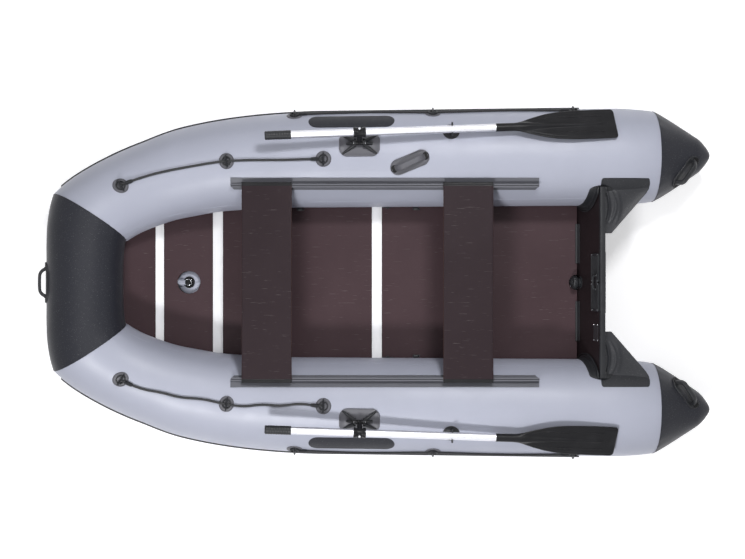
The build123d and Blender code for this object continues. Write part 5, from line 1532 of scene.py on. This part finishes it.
def make_clamps():
    """Angle bars at the transom's foot: one leg on the floor, one up the transom, screws."""
    place = on_transom()
    found = []
    corner = ((0.0, 0.0008), (0.0, 0.0255), (0.0010, 0.0264), (0.0034, 0.0264), (0.0045, 0.0255),
              (0.0048, 0.0074), (0.0062, 0.0056), (0.0130, 0.0050), (0.0140, 0.0042),
              (0.0140, 0.0008))
    outline = np.array(corner)
    for sx in (-1, 1):
        x = np.array((-0.0975, -0.0970, 0.0970, 0.0975)) + sx * 0.191
        shrink = np.array((0.92, 1.0, 1.0, 0.92))[:, None, None]
        middle = outline.mean(0)
        legs = middle + (outline - middle) * shrink
        points = np.stack([x[:, None] + 0 * legs[..., 0], legs[..., 1], legs[..., 0]], -1)
        found.append(grid(place(points), span=(0.195, 0.08)))
        for k in range(3):
            found += rivets(place, [(sx * (0.121 + 0.070 * k), 0.0170, 0.0046)], 0.0034)
    return found


def make_valve():
    """Inflation valve on the keel tube: flange, fluted cap, finger bar and its ring."""
    seat = on_plane((0.930, 0, 0.1065), (1, 0, 0), (0.08, 0, 1))
    body = turned(seat, [(0.0284, -0.030), (0.0285, 0.0), (0.0285, 0.0055), (0.0272, 0.0075),
                         (0.0232, 0.0080), (0.0222, 0.0050), (0.0205, 0.0045)], 56)
    cap = turned(seat, [(0.0192, 0.004), (0.0192, 0.0115), (0.0178, 0.0136), (0.0130, 0.0138),
                        (0.0118, 0.0112), (0.0105, 0.0108)], 80, ribs=20, depth=0.06)
    bar = brick(seat, (0.023, 0.0055, 0.0048), (0, 0, 0.0130), 0.0014)
    a = np.radians(np.linspace(60, 300, 30))
    wire = np.stack([0.0150 * np.cos(a), 0.0150 * np.sin(a), 0 * a + 0.0148], -1)
    ring = sweep(seat(wire), circle(0.0011, 8))
    dish = turned(seat, [(0.0575, -0.0135), (0.0570, -0.0100), (0.0540, -0.0070), (0.0400, -0.0030),
                         (0.0287, -0.0010)], 56)
    return [body, cap, bar], [ring, dish]


def make_gusset():
    """Gusset sheet: z = max(plane, tube skin + lift), with long folds that curve down from
    the transom's corner, depth exp(-(d/w)^2). The lower face lies 1.6 mm under it."""
    u = np.linspace(0, 1, 90)[:, None]
    v = np.linspace(0, 1, 110)[None, :]
    fore, aft, foot = -1.0565, -1.287, -1.110
    run = fore + (aft - fore) * u
    y_low = 0.2325 + 0.204 * np.clip((foot - run) / (foot - aft), 0, 1)
    y_low = np.where(run > -1.0705, 0.436, y_low) + 0.006 * np.exp(-((run - aft) / 0.010) ** 2)
    y_high = 0.4915 - 0.012 * (1 - np.sqrt(1 - np.clip((aft + 0.012 - run) / 0.012, 0, 1) ** 2))
    y_high = y_high - 0.012 * (1 - np.sqrt(1 - np.clip((run - fore + 0.012) / 0.012, 0, 1) ** 2))
    y = y_low + (y_high - y_low) * v
    x = run - 0.003 * np.sin(np.pi * v) * np.clip(u * 1.4 - 0.4, 0, 1)
    centre, _, radius = spine(t_of(x))
    skin_z = centre[..., 2] + np.sqrt(np.maximum(radius**2 - (y - centre[..., 1]) ** 2, 0))
    drop = np.clip((0.445 - y) / 0.170, 0, 1.25)
    fold = np.zeros_like(y)
    for back, bend, width, depth in ((0.012, 0.016, 0.0055, 0.0075), (0.030, 0.030, 0.0085, 0.0060),
                                     (0.056, 0.020, 0.0110, 0.0035)):
        line = -1.0710 - back - bend * np.sin(np.pi * np.clip(drop, 0, 1))
        fade = np.sin(np.pi * np.clip(drop, 0.0, 1.0)) ** 0.7
        fold = fold + depth * fade * np.exp(-((x - line) / width) ** 2)
    sag = -0.0045 * np.sin(np.pi * np.clip(u, 0, 1)) * np.sin(np.pi * np.clip(v * 1.4, 0, 1))
    plane = 0.3962 + (fold + sag) * np.clip((0.448 - y) / 0.02, 0, 1)
    z = np.maximum(plane, skin_z + 0.0013)
    top = np.stack([x + 0 * y, y, z], -1)
    under = top - (0, 0, 0.0016)
    ring = np.concatenate([top, under[:, ::-1]], 1)
    return grid(ring, span=(0.232, 0.5)), top


def make_tie(x):
    """Patch with a ring on the tube, its strap and buckle lying aft along it."""
    place = on_tube(x, 186.5)
    base = pad(place, (0.054, 0.054, 0.027), [
        (0, -0.001), (0, 0.0020), (0.0012, 0.0034), (0.0040, 0.0040), (0.0100, 0.0040)])
    bar = brick(place, (0.012, 0.036, 0.007), (0, 0, 0.0062), 0.0022)
    run = np.linspace(0.002, -0.136, 40)
    lift = 0.0068 + 0.0070 * np.sin(run * np.pi / -0.136) ** 0.5
    line = np.stack([run, 0 * run, lift], -1)
    web = np.array(((-0.0125, -0.0007), (-0.0125, 0.0007), (0.0125, 0.0007), (0.0125, -0.0007)))
    strap = carried(place, sweep(line, web))
    buckle = brick(place, (0.030, 0.031, 0.0150), (-0.137, 0, 0.0090), 0.0036)
    tongue = brick(place, (0.014, 0.018, 0.0080), (-0.152, 0, 0.0120), 0.0024)
    return [base, bar, buckle, tongue], [strap]


# ---- operators ----
def dress(nodes, material):
    """Gives CAD nodes that stay a node-based material."""
    for name in nodes:
        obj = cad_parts[name]
        obj.data.materials.clear()
        obj.data.materials.append(MATERIALS[material])


CONE_HANDLE = (0.552, 128.0, -38.0)  # way along the cone, angle round it and turn
BOW_HANDLE = 16.0
CARRY_HANDLE = (-0.154, 99.0, -22.0)
TIE_DOWNS = {"port": -0.050, "fore": 0.520}
SEATS = {"front": 0.5175, "rear": -0.428}
PROFILES = ((1, 1.0725, 0.352, 0.26), (2, 0.7866, 0.399, 0.0), (3, 0.0, 0.4045, 0.0))


class BOAT_OT_stage(bpy.types.Operator):
    """Sets the camera, the soft boxes, the floor and the white surroundings"""

    bl_idname = "boat.stage"
    bl_label = "Stage"

    def execute(self, context):
        make_stage(context.scene.boat_sizes.camera_height)
        return {"FINISHED"}


class BOAT_OT_materials(bpy.types.Operator):
    """Makes the materials and dresses the CAD nodes that stay"""

    bl_idname = "boat.materials"
    bl_label = "Materials"

    def execute(self, context):
        make_materials(context.scene.boat_colours)
        dress([f"floor_board_{k}" for k in range(1, 5)], "floor_film")
        dress(["floor_profile_4"], "profile_metal")
        dress(["seat_sliders_front", "seat_sliders_rear"], "plastic")
        dress([f"seat_rail_{side}" for side in SIDES], "rail_rubber")
        return {"FINISHED"}


class BOAT_OT_grab_lines(bpy.types.Operator):
    """Builds the four braided grab lines"""

    bl_idname = "boat.grab_lines"
    bl_label = "Grab lines"

    def execute(self, context):
        for name in LINES:
            make_line(name, context.scene.boat_sizes.rope_diameter)
        return {"FINISHED"}


class BOAT_OT_hull(bpy.types.Operator):
    """Builds the side tubes, bow segment, stern cones, strakes and patches"""

    bl_idname = "boat.hull"
    bl_label = "Hull"

    def execute(self, context):
        depth = context.scene.boat_sizes.wrinkle
        for name, side in SIDES.items():
            piece(f"side_tube_{name}", make_side_tube(side, depth), ["tube_fabric"],
                  "hull", "pvc_grey", [f"tube_{name}"])
            piece(f"stern_cone_{name}", make_cone(side), ["dark_fabric"],
                  "hull", "pvc_black", [f"cone_{name}"])
            piece(f"strake_{name}", make_strake(side), ["rubber"],
                  "hull", "rubber_black", [f"rub_strake_{name}"])
        piece("bow_tube", make_bow_tube(depth), ["dark_fabric"], "hull",
              "pvc_black", ["bow_segment"])
        piece("patches", make_patches(), ["dark_fabric"], "hull",
              "pvc_black", ["side_patches"])
        return {"FINISHED"}


class BOAT_OT_bottom(bpy.types.Operator):
    """Builds the bottom panel, the keel tube and its wear strip"""

    bl_idname = "boat.bottom"
    bl_label = "Bottom and keel"

    def execute(self, context):
        piece("bottom", make_bottom(), ["bottom_fabric"], "hull", "pvc_grey",
              ["bottom_panel"])
        piece("keel", make_keel(), ["bottom_fabric"], "hull", "pvc_grey",
              ["keel_tube"])
        piece("guard", make_guard(), ["rubber"], "hull", "rubber_black",
              ["keel_guard"])
        return {"FINISHED"}


def hull_piece(name, surfaces, material, slot, replaces, **more):
    """Piece of one material that rides on the hull."""
    return piece(name, surfaces, [material], "hull", slot, replaces, **more)


class BOAT_OT_fittings(bpy.types.Operator):
    """Builds line eyes, seizings, handles, oar rests and tie-down straps"""

    bl_idname = "boat.fittings"
    bl_label = "Line eyes, handles and straps"

    def execute(self, context):
        radius = context.scene.boat_sizes.eye_radius
        for name, places in (("inner", INNER_EYES), ("outer", OUTER_EYES)):
            piece(f"{name}_eyes", make_eyes(places, radius), ["plate_rubber", "rubber"], "hull",
                  "plastic_black",
                  [f"{name}_line_eyes"], picks=[0, 1, 1] * 2 * len(places))
        seizings = [surface for name in LINES for surface in make_ties(name)]
        hull_piece("line_seizings", seizings, "rubber", "rubber_black", [])
        for place, name, skin_look in (
            (on_bow(BOW_HANDLE), "bow_handle", "rubber"),
            (on_tube(*CARRY_HANDLE, -1), "carry_handle", "plate_rubber"),
        ):
            # The second material paints near-black shade into the handle's pockets.
            piece(name + "_moulding", make_handle(place), [skin_look, "painted_hollow_shade"], "hull",
                  "plastic_black", [name], picks=[0, 0, 1, 1])
        # Here too the pockets take the near-black painted shade material.
        surfaces = [s for side in SIDES.values() for s in make_handle(on_cone(*CONE_HANDLE, side))]
        piece("cone_handle_mouldings", surfaces, ["rubber", "painted_hollow_shade"], "hull", "plastic_black",
              ["cone_handles"], picks=[0, 0, 1, 1] * 2)
        hull_piece("rests", both(make_rest()), "rubber", "plastic_black", ["oar_rests"])
        port, port_strap = make_tie(TIE_DOWNS["port"])
        fore, fore_strap = make_tie(TIE_DOWNS["fore"])
        hard = port + on_side(port + fore, -1)
        soft = port_strap + on_side(port_strap + fore_strap, -1)
        piece("tie_down_straps", hard + soft, ["rubber", "webbing"], "hull", "plastic_black",
              ["tie_downs"], picks=[0] * len(hard) + [1] * len(soft))
        return {"FINISHED"}


class BOAT_OT_oars(bpy.types.Operator):
    """Builds the oarlocks, collars, grips and blades of both sides"""

    bl_idname = "boat.oars"
    bl_label = "Oarlocks and oars"

    def execute(self, context):
        for name, side in SIDES.items():
            base, pin = on_side(make_lock_base(), side), on_side(make_pin(), side)
            piece(f"lock_base_{name}", base + pin, ["plate_rubber", "steel", "rubber"],
                  "hull", "plastic_black", [f"oarlock_base_{name}"],
                  picks=[0] + [2] * (len(base) - 1) + [1])
            piece(f"shaft_{name}", on_side(make_shaft(), side), ["oar_metal"], f"oar_{name}",
                  "aluminium", [f"oar_shaft_{name}"], crease=30)
            piece(f"lock_stalk_{name}", on_side(make_stalk(), side), ["plastic"], f"stalk_{name}",
                  "plastic_black", [f"oarlock_stalk_{name}"])
            piece(f"collar_{name}", on_side(make_collar(), side), ["plastic", "steel"],
                  f"oar_{name}", "plastic_black", [f"oar_collar_{name}"], picks=[0, 0, 0, 1, 0])
            piece(f"grip_{name}", on_side(make_grip(), side), ["rubber"], f"oar_{name}",
                  "plastic_black", [f"oar_grip_{name}"])
            # The blade's hole plug takes the near-black painted shade material.
            piece(f"blade_{name}", on_side(make_blade(), side), ["plastic", "painted_hollow_shade"],
                  f"oar_{name}", "plastic_black", [f"oar_blade_{name}"], picks=[0, 0, 1])
        return {"FINISHED"}


class BOAT_OT_transom(bpy.types.Operator):
    """Builds motor pads, plate, drain, clamps, keel valve and gussets"""

    bl_idname = "boat.transom"
    bl_label = "Transom fittings and gussets"

    def execute(self, context):
        plates, pins = make_inner_pad()
        piece("inner_motor_pad", plates + pins, ["rubber", "steel"], "hull",
              "plastic_black", ["motor_pad_inner"], picks=[0] * len(plates) + [1] * len(pins))
        hull_piece("outer_motor_pad", make_outer_pad(), "rubber", "plastic_black",
                   ["motor_pad_outer"])
        plate, pins = make_plate()
        piece("bare_plate", plate + pins, ["plate_metal", "steel"], "hull",
              "steel", ["blank_plate"], picks=[0] + [1] * len(pins))
        hull_piece("drain", make_drain(), "rubber", "plastic_black", ["drain_valve"])
        hull_piece("clamps", make_clamps(), "rubber", "plastic_black", ["floor_clamps"])
        body, ring = make_valve()
        piece("inflation_valve", body + ring, ["plastic", "steel", "tube_fabric"],
              "hull", "plastic_black", ["keel_valve"], picks=[0] * len(body) + [1, 2])
        for name, side in SIDES.items():
            sheet, top = make_gusset()
            cloth = hull_piece(f"gusset_sheet_{name}", on_side([sheet], side),
                               "gusset_fabric", "pvc_dark", [f"gusset_{name}"])
            a, b = top[1:, :-1] - top[:-1, :-1], top[:-1, 1:] - top[:-1, :-1]
            area = float(np.linalg.norm(np.cross(a, b), axis=-1).sum())
        return {"FINISHED"}


class BOAT_OT_inside(bpy.types.Operator):
    """Builds the transom, its holders, the aft floor board and the seats"""

    bl_idname = "boat.inside"
    bl_label = "Transom, aft board and seats"

    def execute(self, context):
        hull_piece("transom", make_transom(), "transom_film", "plywood_brown", ["transom_board"])
        hull_piece("transom_cap", [brick(on_transom(), (0.906, 0.020, 0.0262),
                                         (0, TRANSOM_TOP - 0.0085, -0.0125),
                                        0.003)], "rubber", "rubber_black", ["transom_edge_cap"])
        hull_piece("aft_board", make_last_board(), "floor_film", "plywood", ["floor_board_5"])
        for k, x, half, slope in PROFILES:
            hull_piece(f"profile_{k}", make_profile(x, half, slope), "profile_metal",
                       "plastic_white",
                       [f"floor_profile_{k}"])
        hull_piece("holders", both([make_holder()]), "rubber", "rubber_black", ["transom_holders"])
        for name, x in SEATS.items():
            board, ends = make_seat(x)
            piece(f"seat_{name}_board", [board, *ends], ["seat_film", "plastic"],
                  f"seat_{name}", "plywood_brown", [f"seat_board_{name}"],
                  picks=[0] + [1] * len(ends))
        return {"FINISHED"}


STEPS = (BOAT_OT_stage, BOAT_OT_materials, BOAT_OT_grab_lines, BOAT_OT_hull, BOAT_OT_bottom,
         BOAT_OT_fittings, BOAT_OT_oars, BOAT_OT_inside, BOAT_OT_transom)


class BOAT_PT_panel(bpy.types.Panel):
    """Sizes, colours and steps of the boat"""

    bl_idname = "BOAT_PT_panel"
    bl_label = "Inflatable boat"
    bl_space_type = "VIEW_3D"
    bl_region_type = "UI"
    bl_category = "Boat"

    def draw(self, context):
        layout = self.layout
        for group in (context.scene.boat_sizes, context.scene.boat_colours):
            for name in group.bl_rna.properties.keys():
                if name not in ("rna_type", "name"):
                    layout.prop(group, name)
        for step in STEPS:
            layout.operator(step.bl_idname)


CLASSES = (BoatColours, BoatSizes, *STEPS, BOAT_PT_panel)


def register():
    for cls in CLASSES:
        bpy.utils.register_class(cls)
    bpy.types.Scene.boat_sizes = bpy.props.PointerProperty(type=BoatSizes)
    bpy.types.Scene.boat_colours = bpy.props.PointerProperty(type=BoatColours)


def unregister():
    del bpy.types.Scene.boat_sizes
    del bpy.types.Scene.boat_colours
    for cls in reversed(CLASSES):
        bpy.utils.unregister_class(cls)


def main():
    """Runs all steps."""
    register()
    for step in STEPS:
        group, name = step.bl_idname.split(".")
        if getattr(getattr(bpy.ops, group), name)() != {"FINISHED"}:
            raise RuntimeError(f"{step.bl_idname} didn't finish")


if __name__ == "__main__":
    main()
